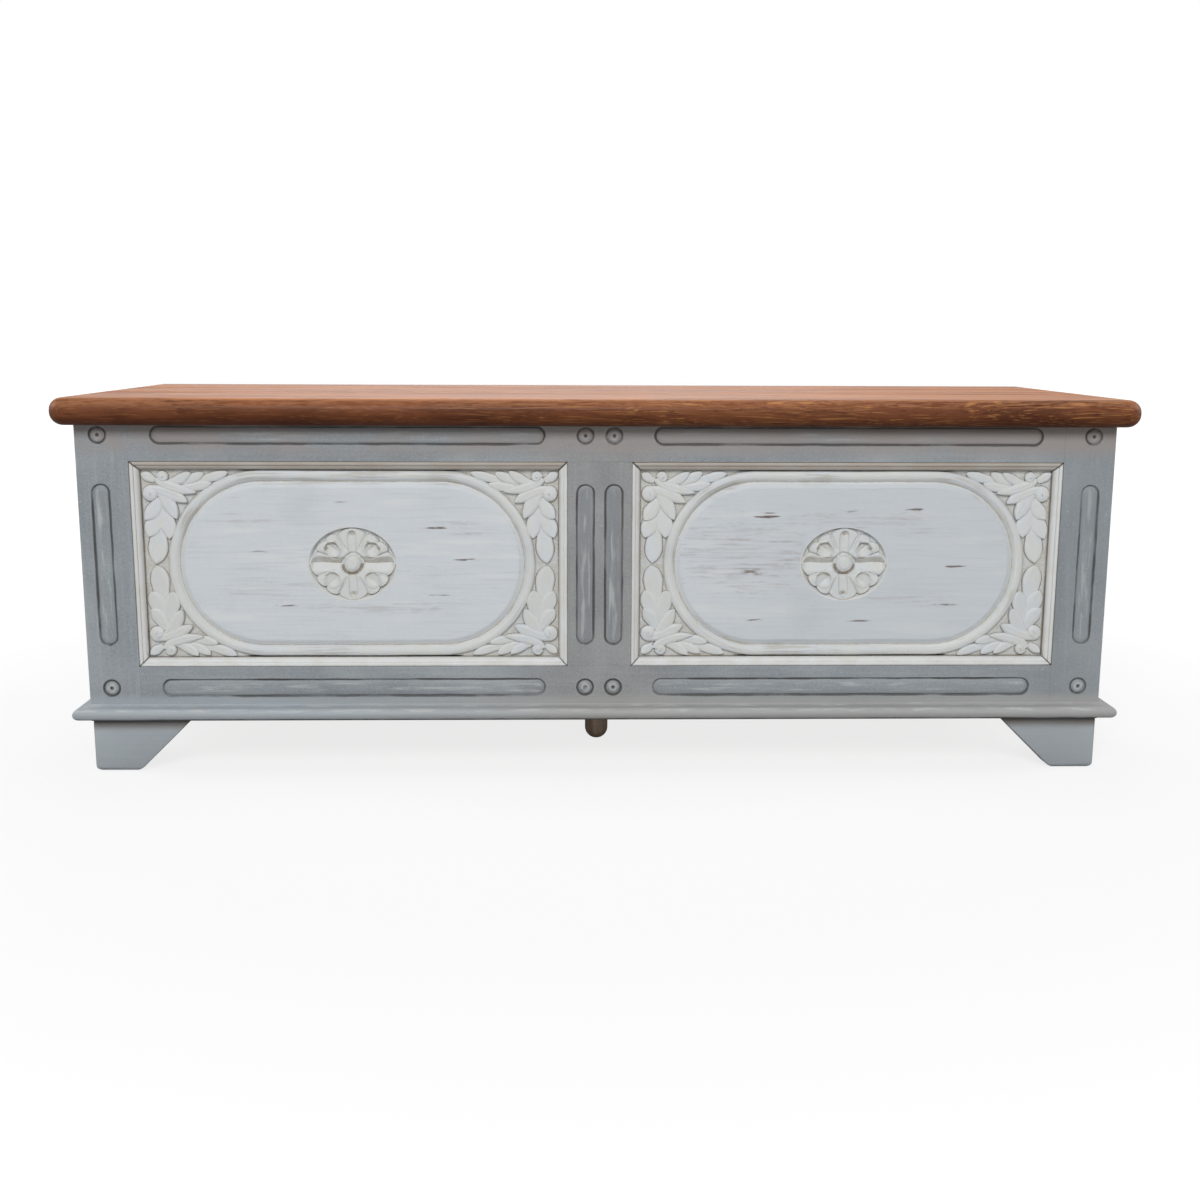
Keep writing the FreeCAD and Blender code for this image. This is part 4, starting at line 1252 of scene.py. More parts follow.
def cut_bar(name, skin, reeds, seats, material, cutters):
    """The mesh of a bar once its reeds, its peg seats and any recesses are cut."""
    made = linked(name, skin.mesh(name))
    reed_sizes = {"Out": to_front, "Depth": reed_depth, "Radius": reed_radius, "Channel": reed_channel,
                  "Round": reed_round, "Wobble": reed_wobble, "Material": material}
    for start, end in reeds:
        add_step(made, reed_tree, reed_sizes | {"Centre": start, "Run": end - start})
    seat_sizes = {"Depth": peg_seat_depth, "Radius": peg_seat_radius, "Material": material}
    for centre, outwards in seats:
        add_step(made, seat_tree, seat_sizes | {"Centre": centre, "Out": outwards})
    for cutter in cutters:
        step = made.modifiers.new(cutter.name, "BOOLEAN")
        step.operation = "DIFFERENCE"
        step.object = cutter
    mesh = settled(made)
    for cutter in cutters:
        bpy.data.objects.remove(cutter)
    return mesh


def frame_bar(name, axis, run, stretches=(), fine=(), reeds=(), seats=(), cutters=(), rounds=joint_rounds):
    """A painted bar of the frame, as thick as its node, with its reeds, peg seats and recesses.

    run holds its ends. stretches need fine lines along it, and fine holds others by the section's side:
    below, behind, on top, in front of a level bar, and in front, right, behind, left of an upright one.
    """
    low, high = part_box(name)
    limits = [(low[k], high[k]) for k in range(3) if k != axis]
    sides = [merged_lines(*limits[side % 2], *fine[side]) if side in fine else [] for side in range(4)]
    skin = bar(axis, section_loop(*limits, rounds, sides), merged_lines(*run, *stretches))
    mesh = cut_bar(name, skin, reeds, seats, grey_paints[axis], cutters)
    piece("painted_" + name, mesh, grey_paints[axis], "carcass", "frame_paint", name)


def around_peg(place):
    """A stretch of lines that is fine enough for a peg's seat."""
    return (place - peg_reach, place + peg_reach, peg_pitch)


def around_reed(place):
    """A stretch of lines that is fine enough across a reed."""
    return (place - reed_reach, place + reed_reach, fine_pitch)


def reed_ends(start, end):
    """Stretches of lines that are fine enough for the round ends of a reed."""
    return [(start - reed_reach, start + reed_end_run, fine_pitch),
            (end - reed_end_run, end + reed_reach, fine_pitch)]


def front_point(x, z):
    return Vector((x, front_face, z))


def front_rail(row, line):
    """A front rail with two level reeds and two peg seats."""
    runs = [(-rail_reed[1], -rail_reed[0]), rail_reed]
    stretches = [around_peg(x) for x in muntin_lines]
    for run in runs:
        stretches += reed_ends(*run)
    reeds = [(front_point(start, line), front_point(end, line)) for start, end in runs]
    seats = [(front_point(x, line), to_front) for x in muntin_lines]
    frame_bar(f"front_{row}_rail", 0, rail_run, stretches, {3: [around_reed(line)]}, reeds, seats)


def front_middle():
    """The front muntin, with two upright reeds."""
    reeds = [tuple(front_point(x, z) for z in upright_reed) for x in muntin_lines]
    fine = {0: [around_reed(x) for x in muntin_lines]}
    frame_bar("front_muntin", 2, muntin_run, reed_ends(*upright_reed), fine, reeds)


def corner_post(side, wall):
    """A corner post with peg seats in two faces, and a reed in front."""
    name = f"post_{wall}_{side}"
    low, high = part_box(name)
    sign = side_signs[side]
    is_front = wall == "front"
    line = sign * (half_width - post_line)
    face = front_face if is_front else back_face
    outwards = to_front if is_front else to_back
    end_peg = high.y - end_peg_inset if is_front else low.y + end_peg_inset
    fine = {0 if is_front else 2: [around_reed(line)], 1 if sign > 0 else 3: [around_peg(end_peg)]}
    stretches = [around_peg(height) for height in peg_heights]
    reeds = []
    if is_front:
        stretches += reed_ends(*upright_reed)
        reeds.append(tuple(front_point(line, z) for z in upright_reed))
    corners = [("front", "left"), ("front", "right"), ("back", "right"), ("back", "left")]
    rounds = [corner_round if corner == (wall, side) else joint_round for corner in corners]
    seats = []
    for height in peg_heights:
        seats.append((Vector((line, face, height)), outwards))
        seats.append((Vector((sign * half_width, end_peg, height)), Vector((sign, 0, 0))))
    frame_bar(name, 2, post_run, stretches, fine, reeds, seats, rounds=rounds)


def recess_cutter(side):
    """A block as wide as a hinge leaf, that cuts its recess down from the top of the back rail."""
    low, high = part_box(f"hinge_{side}_fixed_leaf")
    first = Vector((low.x - hinge_leaf_gap, low.y - hinge_leaf_gap, carcass_top - hinge_leaf_thickness))
    last = Vector((high.x + hinge_leaf_gap, back_face + recess_overcut, carcass_top + recess_overcut))
    mesh = bpy.data.meshes.new("recess_" + side)
    work = bmesh.new()
    bmesh.ops.create_cube(work, size=1.0)
    for vertex in work.verts:
        vertex.co = [last[k] if vertex.co[k] > 0 else first[k] for k in range(3)]
    work.to_mesh(mesh)
    work.free()
    return linked("recess_" + side, mesh)


def back_rail(row, line):
    """A back rail with two peg seats, and the hinges' recesses in the top one."""
    stretches = [around_peg(x) for x in muntin_lines]
    seats = [(Vector((x, back_face, line)), to_back) for x in muntin_lines]
    cutters = [recess_cutter(side) for side in side_signs] if row == "top" else []
    frame_bar(f"back_{row}_rail", 0, rail_run, stretches, {1: [around_peg(line)]}, (), seats, cutters)


# Copies of frame nodes with eased edges

def rounded(work, edges, reach, steps):
    return bmesh.ops.bevel(work, geom=edges, offset=reach, offset_type="OFFSET", segments=steps, profile=0.5,
                           affect="EDGES", clamp_overlap=True)


def toe_edges(work):
    """The level edges of a foot where it stands on the floor."""
    return [edge for edge in work.edges
            if max(vertex.co.z for vertex in edge.verts) < toe_slack
            and min(abs(edge.verts[0].co[k] - edge.verts[1].co[k]) for k in (0, 1)) < toe_slack]


def eased_copy(finish, node, ease, material, slot, body="carcass", is_foot=False):
    """A copy of a node as one closed skin, with its sharp edges eased and marked."""
    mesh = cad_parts[node].data.copy()
    work = bmesh.new()
    work.from_mesh(mesh)
    bmesh.ops.remove_doubles(work, verts=work.verts, dist=weld_reach)
    bmesh.ops.dissolve_limit(work, angle_limit=flat_angle, verts=work.verts, edges=work.edges)
    if is_foot:
        rounded(work, toe_edges(work), toe_round, toe_steps)
    sharp = [edge for edge in work.edges
             if len(edge.link_faces) == 2 and edge.calc_face_angle() > sharp_angle]
    mark = work.verts.layers.float.new("edge")
    made = rounded(work, sharp, ease, ease_steps)
    eased = set(made["faces"])
    for vertex in made["verts"]:
        vertex[mark] = 1.0 if all(face in eased for face in vertex.link_faces) else 0.0
    work.to_mesh(mesh)
    work.free()
    piece(f"{finish}_{node}", mesh, material, body, slot, node)


# Pegs

def turned_peg():
    """A peg with a domed head and a punched middle, turned about Z."""
    radii, heights, hollow, raised = np.array(peg_profile).T
    angles = [2 * math.pi * step / peg_steps for step in range(peg_steps)]
    points = [(0.0, 0.0, heights[0] * mm)]
    for radius, height in zip(radii[1:-1] * mm, heights[1:-1] * mm):
        points += [(radius * math.cos(angle), radius * math.sin(angle), height) for angle in angles]
    points.append((0.0, 0.0, heights[-1] * mm))
    rings = len(peg_profile) - 2
    top = 1 + (rings - 1) * peg_steps
    faces = []
    for step in range(peg_steps):
        beside = (step + 1) % peg_steps
        faces.append((0, 1 + beside, 1 + step))
        for low in range(1, top, peg_steps):
            faces.append((low + step, low + beside, low + peg_steps + beside, low + peg_steps + step))
        faces.append((top + step, top + beside, len(points) - 1))
    counts = [1] + [peg_steps] * rings + [1]
    skin = Skin()
    skin.add(points, faces, hollow=np.repeat(hollow, counts), raised=np.repeat(raised, counts))
    return linked("turned_peg", skin.mesh("turned_peg"))


def set_pegs(group, places, shape):
    """All the pegs of one group, as one piece; places are pairs of a point and its way out."""
    mesh = bpy.data.meshes.new("peg_points")
    mesh.from_pydata([tuple(point) for point, outwards in places], [], [])
    ways = mesh.attributes.new("out", "FLOAT_VECTOR", "POINT")
    ways.data.foreach_set("vector", [value for point, outwards in places for value in outwards])
    made = linked("peg_points", mesh)
    add_step(made, set_tree, {"Shape": shape, "Material": paint_deep})
    piece(f"turned_{group}_pegs", settled(made), paint_deep, "carcass", "frame_paint", group + "_pegs")


def long_wall_pegs(face, outwards):
    reach = half_width - post_line
    lines = (-reach, *muntin_lines, reach)
    return [(Vector((x, face, height)), outwards) for height in peg_heights for x in lines]


def end_wall_pegs():
    lines = (front_post_back - end_peg_inset, back_post_front + end_peg_inset)
    return [(Vector((sign * half_width, y, height)), Vector((sign, 0, 0)))
            for sign in side_signs.values() for height in peg_heights for y in lines]


# Strips: beading and base moulding

def section_object(name, rows, *mark_labels):
    """A closed section as a loop of edges, from rows of x, y and the marks of each point."""
    mesh = bpy.data.meshes.new(name)
    count = len(rows)
    edges = [(step, (step + 1) % count) for step in range(count)]
    mesh.from_pydata([(row[0], row[1], 0.0) for row in rows], edges, [])
    put_marks(mesh, {label: [row[2 + index] for row in rows] for index, label in enumerate(mark_labels)})
    return linked(name, mesh)


def strip_mesh(section, length, mitres, gap, ways, origin):
    """A mitred strip in place; its ways are the ones that it runs along, widens across and rises in."""
    made = linked("strip", bpy.data.meshes.new("strip"))
    values = {"Section": section, "Length": length, "Start Mitre": mitres[0], "End Mitre": mitres[1],
              "Gap": gap, "Material": paint_level}
    add_step(made, strip_tree, values)
    mesh = settled(made)
    along, across, up = map(Vector, ways)
    mesh.transform(framed((along, -across, up), origin))
    return mesh


def beading_section():
    """Across from the frame: a flat with rounded edges, a step down, and a quarter-round bead.

    Depth is measured from the front face of the frame, downwards.
    """
    floor = panel_surface - front_face
    bead_top = beading_sink + beading_step
    ease = beading_ease
    # Across, depth, hollow, worn edge
    rows = [
        (0.0, floor, 1.0, 0.0), (0.0, beading_sink + ease, 1.0, 0.2), (ease, beading_sink, 0.85, 0.6),
        (beading_joint_dirt, beading_sink, 0.1, 0.7), (beading_flat - ease, beading_sink, 0.0, 0.8),
        (beading_flat, beading_sink + ease, 0.2, 0.7), (beading_flat, bead_top, 0.7, 0.0),
    ]
    width = beading_width - beading_flat
    height = floor + bead_sink - bead_top
    for step in range(1, bead_steps + 1):
        angle = math.pi / 2 * step / bead_steps
        across = beading_flat + width * math.sin(angle)
        depth = bead_top + height * (1 - math.cos(angle))
        hollow = bead_top_dirt if step == 1 else step / bead_steps * bead_foot_dirt
        rows.append((across, depth, hollow, bead_wear if step == 2 else 0.0))
    return section_object("beading_section", rows, "hollow", "edge")


def beading(side, section):
    """Four mitred strips around a front panel, as one piece."""
    left = bay_middles[side] - bay_half_width
    right = bay_middles[side] + bay_half_width
    low, high = muntin_run
    runs = {
        "bottom": ((1, 0, 0), (0, 0, 1), front_point(left, low), right - left),
        "right": ((0, 0, 1), (-1, 0, 0), front_point(right, low), high - low),
        "top": ((-1, 0, 0), (0, 0, -1), front_point(right, high), right - left),
        "left": ((0, 0, -1), (1, 0, 0), front_point(left, high), high - low),
    }
    skin = Skin()
    for place, (along, across, origin, length) in runs.items():
        strip = strip_mesh(section, length, (1.0, 1.0), mitre_gap, (along, across, to_front), origin)
        skin.add_mesh(strip, carving=strip_darkness[place])
    node = "front_beading_" + side
    mesh = skin.mesh(node)
    piece("painted_" + node, mesh, beading_coat, "carcass", "beading_paint", node,
          smooth_angle=beading_smooth)


def moulding_section():
    """Down from the wall: a small hollow, a round nose and a flat underside.

    Depth is measured from the top of the moulding, downwards.
    """
    low = moulding_high.z - moulding_low.z - moulding_lift
    reach = front_face - moulding_low.y - moulding_tuck
    middle = np.array([reach - nose_radius, low - nose_radius])
    first = middle + nose_radius * np.array([math.cos(nose_turn), -math.sin(nose_turn)])
    start = np.array([0.0, moulding_drop])
    bend = np.array([cove_bend, first[1]])
    rows = []
    # On the small hollow, the edge mark is a painted highlight that grows towards the nose
    for step in range(cove_steps):
        share = step / cove_steps
        worn = cove_highlight[0] + (cove_highlight[1] - cove_highlight[0]) * share
        rows.append((*bent_line(share, start, bend, first), cove_dirt * (1 - share) ** 2, worn))
    # Round the nose, the edge mark is a painted highlight near its top, and the hollow mark is painted shade
    # underneath
    for step in range(nose_steps + 1):
        share = step / nose_steps
        angle = nose_turn - (math.pi / 2 + nose_turn) * share
        point = middle + nose_radius * np.array([math.cos(angle), -math.sin(angle)])
        worn = nose_highlight * math.exp(-((share - nose_highlight_middle) / nose_highlight_spread) ** 2)
        rows.append((*point, float(smooth_step(share, *nose_underside_shade)), worn))
    rows.append((0.0, low, 1.0, 0.0))
    return section_object("moulding_section", rows, "hollow", "edge")


def base_moulding(section):
    """Three strips of moulding, mitred at the front corners."""
    depth = back_face - front_face
    strips = {
        "front": (2 * half_width, (-1.0, -1.0), (1, 0, 0), to_front, (-half_width, front_face), paint_level),
        "right": (depth, (-1.0, 0.0), to_back, (1, 0, 0), (half_width, front_face), paint_deep),
        "left": (depth, (0.0, -1.0), to_front, (-1, 0, 0), (-half_width, back_face), paint_deep),
    }
    for name, (length, mitres, along, across, corner, material) in strips.items():
        origin = Vector((*corner, moulding_high.z))
        mesh = strip_mesh(section, length, mitres, 0.0, (along, across, (0, 0, 1)), origin)
        node = "base_moulding_" + name
        piece("painted_" + node, mesh, material, "carcass", "frame_paint", node, smooth_angle=moulding_smooth)


# Carved front panels

def stadium_reach(angles, half_run, radius):
    """How far a round-ended oval reaches from its middle, at each angle."""
    cosine = np.abs(np.cos(angles))
    sine = np.abs(np.sin(angles))
    to_side = radius / np.maximum(sine, least_slope)
    to_end = half_run * cosine + np.sqrt(np.maximum(radius ** 2 - (half_run * sine) ** 2, 0))
    return np.where(to_side * cosine <= half_run, to_side, to_end)


def box_reach(angles, half_x, half_z):
    cosine = np.maximum(np.abs(np.cos(angles)), least_slope)
    sine = np.maximum(np.abs(np.sin(angles)), least_slope)
    return np.minimum(half_x / cosine, half_z / sine)


def oval_reach(angles, half_x, half_z):
    return 1 / np.sqrt((np.cos(angles) / half_x) ** 2 + (np.sin(angles) / half_z) ** 2)


def rounded_end(reach, end, taper):
    """1 along a groove, and a round fall to 0 over the last taper before its end."""
    past = np.maximum(reach - (end - taper), 0) / taper
    return np.sqrt(np.clip(1 - past ** 2, 0, 1))


def strayed(x, z, seed):
    """Points of the rosette as a hand cut them: they stray by up to a millimetre, and not at the rim."""
    hand = hand_stray * (1 - np.clip(np.hypot(x / rosette_half_x, z / rosette_half_z), 0, 1) ** 4)
    sideways = np.sin(z / hand_waves[0] + seed) + hand_ripple * np.sin(x / hand_ripples[0] + 2 * seed)
    upwards = np.sin(x / hand_waves[1] + 1.3 * seed) + hand_ripple * np.sin(z / hand_ripples[1] + seed)
    return x + hand * sideways, z + hand * upwards


def scalloped_motif(z, out, angle, turn):
    """Petals and lobes on the floor of the oval, parted by lines: 1 where they lie, height, and dirt with
    painted shade that is stronger below.
    """
    from_petal = np.minimum(angle, 90 - angle)
    petal = np.cos(np.radians(np.clip(from_petal / notch_angle, 0, 1) * 90)) ** petal_round
    lobe_turn = np.clip((from_petal - notch_angle) / (45 - notch_angle), 0, 1)
    lobe = np.sqrt(np.sin(np.radians(lobe_turn * 180)).clip(0))
    outline = notch_reach + (petal_reach - notch_reach) * petal + (lobe_reach - notch_reach) * lobe
    inside = 1 - smooth_step(out, outline - motif_edge, outline + motif_edge)
    height = motif_top + motif_swell * (1 - smooth_step(out, *motif_fall))
    parting = np.abs(np.sin(np.radians(from_petal - notch_angle))) * turn
    line = (1 - smooth_step(parting, *parting_line)) * smooth_step(out, *parting_start)
    height = height - parting_depth * line
    height = height + lobe_rise * lobe * smooth_step(out, *lobe_start)
    dirt_and_shade_fill = np.where(z < 0, outline_shade_below, outline_shade_above)
    return inside, height, dirt_and_shade_fill * np.exp(-((out - outline) / outline_shade_width) ** 2)


def side_grooves(across, z, is_level):
    """Creased grooves to both sides, darker above the crease with painted shade and some dirt: height,
    darkening.
    """
    taper = rounded_end(across, groove_end, groove_taper)
    lean = z - crease_rise
    upper_fall = lean / (upper_facet * taper + least_taper)
    lower_fall = -lean / (lower_facet * taper + least_taper)
    groove = np.clip(1 - np.where(lean > 0, upper_fall, lower_fall), 0, 1) * is_level
    return -crease_depth * groove * taper, groove_shade * smooth_step(groove, *groove_shade_edge) * (lean > 0)


def upright_channels(x, up, is_level):
    """Hollow channels up and down, each with a pit at its end: height, dirt."""
    taper = rounded_end(up, channel_end, groove_taper)
    channel = 1 - (x / (channel_half * taper + least_taper)) ** channel_square
    channel = np.clip(channel, 0, 1) * ~is_level
    pit = np.sqrt(np.clip(1 - (x / pit_half_width) ** 2 - ((up - pit_rise) / pit_half_height) ** 2, 0, 1))
    return -channel_depth * channel - pit_depth * pit, np.maximum(pit_dirt_and_shade * pit, channel_dirt * channel)


def quarter_scoops(across, up, z):
    """A round scoop in each quarter, with painted shade and some dirt under its upper edge, the upper two
    pitted: height, darkening.
    """
    aside = np.hypot(across - scoop_middle[0], up - scoop_middle[1]) / scoop_radius
    above = np.where(z > 0, up - scoop_middle[1], scoop_middle[1] - up) / scoop_radius
    height = scoop_rim * np.exp(-((aside - scoop_rim_reach) / scoop_rim_width) ** 2)
    height = height - scoop_depth * np.clip(1 - aside ** 2, 0, 1) ** scoop_round
    arch = smooth_step(aside, *scoop_shade_edge) * smooth_step(above, *scoop_shade_rise)
    dirt_and_shade_fill = scoop_shade * arch * (aside < scoop_shade_end)
    for pit_across, pit_up in scoop_pits:
        aside = np.hypot(across - pit_across, up - pit_up) / scoop_pit_radius
        pit = np.sqrt(np.clip(1 - aside ** 2, 0, 1)) * (z > 0)
        height = height - scoop_pit_depth * pit
        dirt_and_shade_fill = np.maximum(dirt_and_shade_fill, pit_dirt_and_shade * pit)
    return height, dirt_and_shade_fill


def domed_button(z, turn):
    """A button with a line around its disc, on a sloping collar with some dirt and painted shade below:
    height, darkening.
    """
    height = button_rise - button_dome * np.clip(turn / button_radius, 0, 1) ** 2
    height = height - collar_fall * smooth_step(turn, *button_fall)
    height = height - disc_depth * np.exp(-((turn - disc_radius) / disc_line) ** 2)
    return height, smooth_step(turn, *collar_shade) * np.where(z < 0, collar_shade_below, collar_shade_above)


def rosette_form(x, z, seed):
    """Height of the rosette against the field, and how much dirt and painted shade lie in it, at points from
    its middle.
    """
    x, z = strayed(x, z, seed)
    across = np.abs(x)
    up = np.abs(z)
    turn = np.hypot(x, z)
    out = np.hypot(x / rosette_half_x, z / rosette_half_z)
    angle = np.degrees(np.arctan2(up / rosette_half_z, across / rosette_half_x))
    is_level = angle < 45
    inside, top, dirt_and_shade_fill = scalloped_motif(z, out, angle, turn)
    cuts = [
        side_grooves(across, z, is_level),
        upright_channels(x, up, is_level),
        quarter_scoops(across, up, z),
    ]
    for cut, cut_dirt_and_shade in cuts:
        top = top + cut
        dirt_and_shade_fill = np.maximum(dirt_and_shade_fill, cut_dirt_and_shade)
    top = top - moat_depth * (1 - smooth_step(turn, *moat_wall))
    wall = -wall_start - wall_depth * smooth_step(1 - out, 0, wall_share - wall_lean * z / rosette_half_z)
    height = wall + (np.maximum(top, wall) - wall) * inside
    button, button_dirt_and_shade = domed_button(z, turn)
    is_button = turn < collar_radius
    height = np.where(is_button, np.maximum(button, height), height)
    return height, np.where(is_button, button_dirt_and_shade, dirt_and_shade_fill)


def panel_rings(seed):
    """Rings of a carved panel from its edge to its middle: reach at each angle, height, hollow, carving."""
    corner = math.atan2(ground_half[1], ground_half[0])
    corners = [corner, math.pi - corner, math.pi + corner, 2 * math.pi - corner]
    angles = np.sort(np.concatenate([np.linspace(0, 2 * math.pi, rays, endpoint=False), corners]))
    draws = np.random.default_rng(seed)
    sway = 0
    for turns in ring_sway_turns:
        reach = draws.uniform(-ring_sway, ring_sway)
        sway = sway + reach * np.sin(turns * angles + draws.uniform(0, ring_sway_phase))
    inner = box_reach(angles, *ground_half)
    rings = [(inner - inset, -depth, hollow, 1.0) for inset, depth, hollow in ground_edge]
    for inset, height, hollow, carving in band_section:
        reach = stadium_reach(angles, ring_half_run, ring_radius - (inset + sway * (inset > 0)) * mm)
        rings.append((np.minimum(reach, inner - ring_clearance), height * mm, hollow, carving))
    edge = oval_reach(angles, rosette_half_x, rosette_half_z)
    for share, height, hollow, carving in rosette_border:
        rings.append((edge * share * mm, height * mm, hollow, carving))
    for share in np.linspace(1.0, rosette_least, rosette_rings):
        reach = edge * share
        height, hollow = rosette_form(reach * np.cos(angles), reach * np.sin(angles), seed)
        rings.append((reach * mm, height * mm, hollow, 1.0))
    return angles, rings


def panel_skin(seed):
    """A carved panel lying flat: its face up at height 0, its middle at the origin."""
    angles, rings = panel_rings(seed)
    count = len(angles)
    circle = np.stack([np.cos(angles), np.sin(angles)], axis=1)
    rim = circle * rings[0][0][:, None] * panel_half / ground_half
    rows = [np.column_stack([rim, np.full(count, height)]) for height in (-panel_thickness, 0.0)]
    hollows = [np.zeros(2 * count)]
    carvings = [np.ones(2 * count)]
    for reach, height, hollow, carving in rings:
        rows.append(np.column_stack([circle * reach[:, None], np.broadcast_to(height, count)]))
        hollows.append(np.broadcast_to(hollow, count))
        carvings.append(np.broadcast_to(carving, count))
    skin = Skin()
    skin.add_rings(rows, hollow=np.concatenate(hollows), carving=np.concatenate(carvings))
    return skin


def leaf_section():
    """A whole leaf's section, from its half."""
    mirrored = [(-across, lift, worn) for across, lift, worn in leaf_half_section[-2::-1]]
    rows = [(across, -lift, lift, worn) for across, lift, worn in leaf_half_section + mirrored]
    return section_object("leaf_section", rows, "lift", "edge")


def leaf_line(base, bend, tip, width, base_rise, tip_rise):
    """Midrib points of one leaf, with half widths and rises: low at its base, broad, and high at its tip."""
    rows = []
    for step in range(leaf_points):
        share = 1 - (1 - step / (leaf_points - 1)) ** leaf_bunching
        point = bent_line(share, *map(np.array, (base, bend, tip)))
        swell = leaf_base_width + (1 - leaf_base_width) * min(1.0, share / leaf_broad_from)
        swell = swell * (1.0 - share ** leaf_tip_power) ** leaf_tip_round
        rise = base_rise + (tip_rise - base_rise) * min(1.0, share * leaf_rise_rate)
        rows.append((point, width / 2 * max(swell, leaf_least_width), rise))
    return rows


def scroll_line(middle, radius, ribbon, start, sweep):
    """Midrib points of a scroll, which winds in and up from its rim to its middle."""
    half_ribbon = radius * ribbon
    rows = []
    for step in range(scroll_points):
        share = step / (scroll_points - 1)
        angle = math.radians(start + share * sweep)
        reach = (radius - half_ribbon) * (1.0 - share) ** scroll_wind
        point = np.array(middle) + reach * np.array([math.cos(angle), math.sin(angle)])
        rows.append((point, half_ribbon, scroll_rises[0] + (scroll_rises[1] - scroll_rises[0]) * share))
    return rows


def spandrel_lines(draws):
    """Every midrib of the four spandrels, from the panel's middle, in millimetres."""
    inner = (panel_half - beading_width) / mm
    lines = []
    for corner in ((-1, -1), (-1, 1), (1, -1), (1, 1)):
        rows = []
        for base, bend, tip, width, *rises in corner_leaves:
            stray = draws.uniform(-leaf_tip_stray, leaf_tip_stray, 2)
            broad = width * draws.uniform(1 - leaf_width_stray, 1 + leaf_width_stray)
            strayed_tip = np.maximum(np.array(tip) + stray, leaf_clearance)
            rows.append(leaf_line(base, bend, strayed_tip, broad, *rises))
        rows += [scroll_line(*scroll) for scroll in corner_scrolls]
        for row in rows:
            lines.append([(np.array(corner) * (inner - point), *sizes) for point, *sizes in row])
    return lines


def leaves_mesh(lines, section, material):
    """All the leaves of a panel, swept along their midribs, lying flat with the ground at height 0."""
    points = []
    edges = []
    widths = []
    rises = []
    for line in lines:
        start = len(points)
        edges += [(near, near + 1) for near in range(start, start + len(line) - 1)]
        for point, half_leaf, rise in line:
            points.append((point[0] * mm, point[1] * mm, 0.0))
            widths.append(half_leaf * mm)
            rises.append(rise)
    mesh = bpy.data.meshes.new("midribs")
    mesh.from_pydata(points, edges, [])
    put_marks(mesh, {"half_width": widths, "rise": rises})
    made = linked("midribs", mesh)
    add_step(made, leaf_tree, {"Section": section, "Relief": leaf_height, "Material": material})
    leaves = settled(made)
    put_marks(leaves, {"carving": [1.0] * len(leaves.vertices)})
    return leaves


def carved_panel(side, section):
    """A front panel with its band, rosette and leaves, as one piece."""
    node = "front_panel_" + side
    seed = panel_seeds[side]
    paint = panel_paints[side]
    skin = panel_skin(seed)
    leaves = leaves_mesh(spandrel_lines(np.random.default_rng(seed)), section, paint)
    leaves.transform(Matrix.Translation((0, 0, -relief_depth)))
    skin.add_mesh(leaves)
    mesh = skin.mesh(node)
    middle = Vector((bay_middles[side], panel_surface, bay_middle_z))
    mesh.transform(framed(((1, 0, 0), (0, 0, 1), to_front), middle))
    piece("carved_" + node, mesh, paint, "carcass", "panel_paint", node, smooth_angle=panel_smooth)


# Everything in place

front_rail("top", top_line)
front_rail("bottom", bottom_line)
front_middle()
for side in side_signs:
    corner_post(side, "front")
    corner_post(side, "back")
    for row in ("top", "bottom"):
        frame_bar(f"{side}_end_{row}_rail", 1, end_rail_run)
back_rail("top", top_line)
back_rail("bottom", bottom_line)
frame_bar("back_muntin", 2, muntin_run)

peg_shape = turned_peg()
set_pegs("front", long_wall_pegs(front_face, to_front), peg_shape)
set_pegs("back", long_wall_pegs(back_face, to_back), peg_shape)
set_pegs("end", end_wall_pegs(), peg_shape)

leaf_shape = leaf_section()
bead_shape = beading_section()
moulding_shape = moulding_section()
for side in side_signs:
    carved_panel(side, leaf_shape)
    beading(side, bead_shape)
base_moulding(moulding_shape)
for helper in (peg_shape, leaf_shape, bead_shape, moulding_shape):
    bpy.data.objects.remove(helper)

for side in side_signs:
    eased_copy("painted", f"{side}_end_panel", panel_ease, plain_panel_paint, "panel_paint")
    eased_copy("painted", f"back_panel_{side}", panel_ease, paint_level, "frame_paint")
    eased_copy("planed", f"{side}_ledger", ledger_ease, plank_deep, "bare_wood")
    eased_copy("planed", f"lid_batten_{side}", batten_ease, plank_deep, "bare_wood", "lid")
    for wall in ("front", "back"):
        foot = f"foot_{wall}_{side}"
        eased_copy("painted", foot + "_long_bracket", foot_ease, paint_level, "frame_paint", is_foot=True)
        eased_copy("painted", foot + "_end_bracket", foot_ease, paint_deep, "frame_paint", is_foot=True)
for place in ("front", "middle", "back"):
    eased_copy("varnished", f"lid_board_{place}", lid_ease, varnish, "lid_wood", "lid")
    eased_copy("planed", f"bottom_board_{place}", board_ease, plank_long, "bare_wood")
for place in ("front", "back"):
    eased_copy("turned", f"centre_foot_{place}", centre_foot_ease, foot_wood, "dark_wood")
eased_copy("planed", "centre_bearer", bearer_ease, plank_deep, "bare_wood")
eased_copy("planed", "foot_blocks", block_ease, plank_upright, "bare_wood")

brass_nodes = ["lid_batten_screws", "hinge_pins", "hinge_fixed_screws", "hinge_lid_screws"]
brass_nodes += [f"hinge_{side}_{leaf}_leaf" for side in side_signs for leaf in ("fixed", "lid")]
for node in brass_nodes:
    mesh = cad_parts[node].data
    mesh.materials.clear()
    mesh.materials.append(brass)


# Floor, light and camera

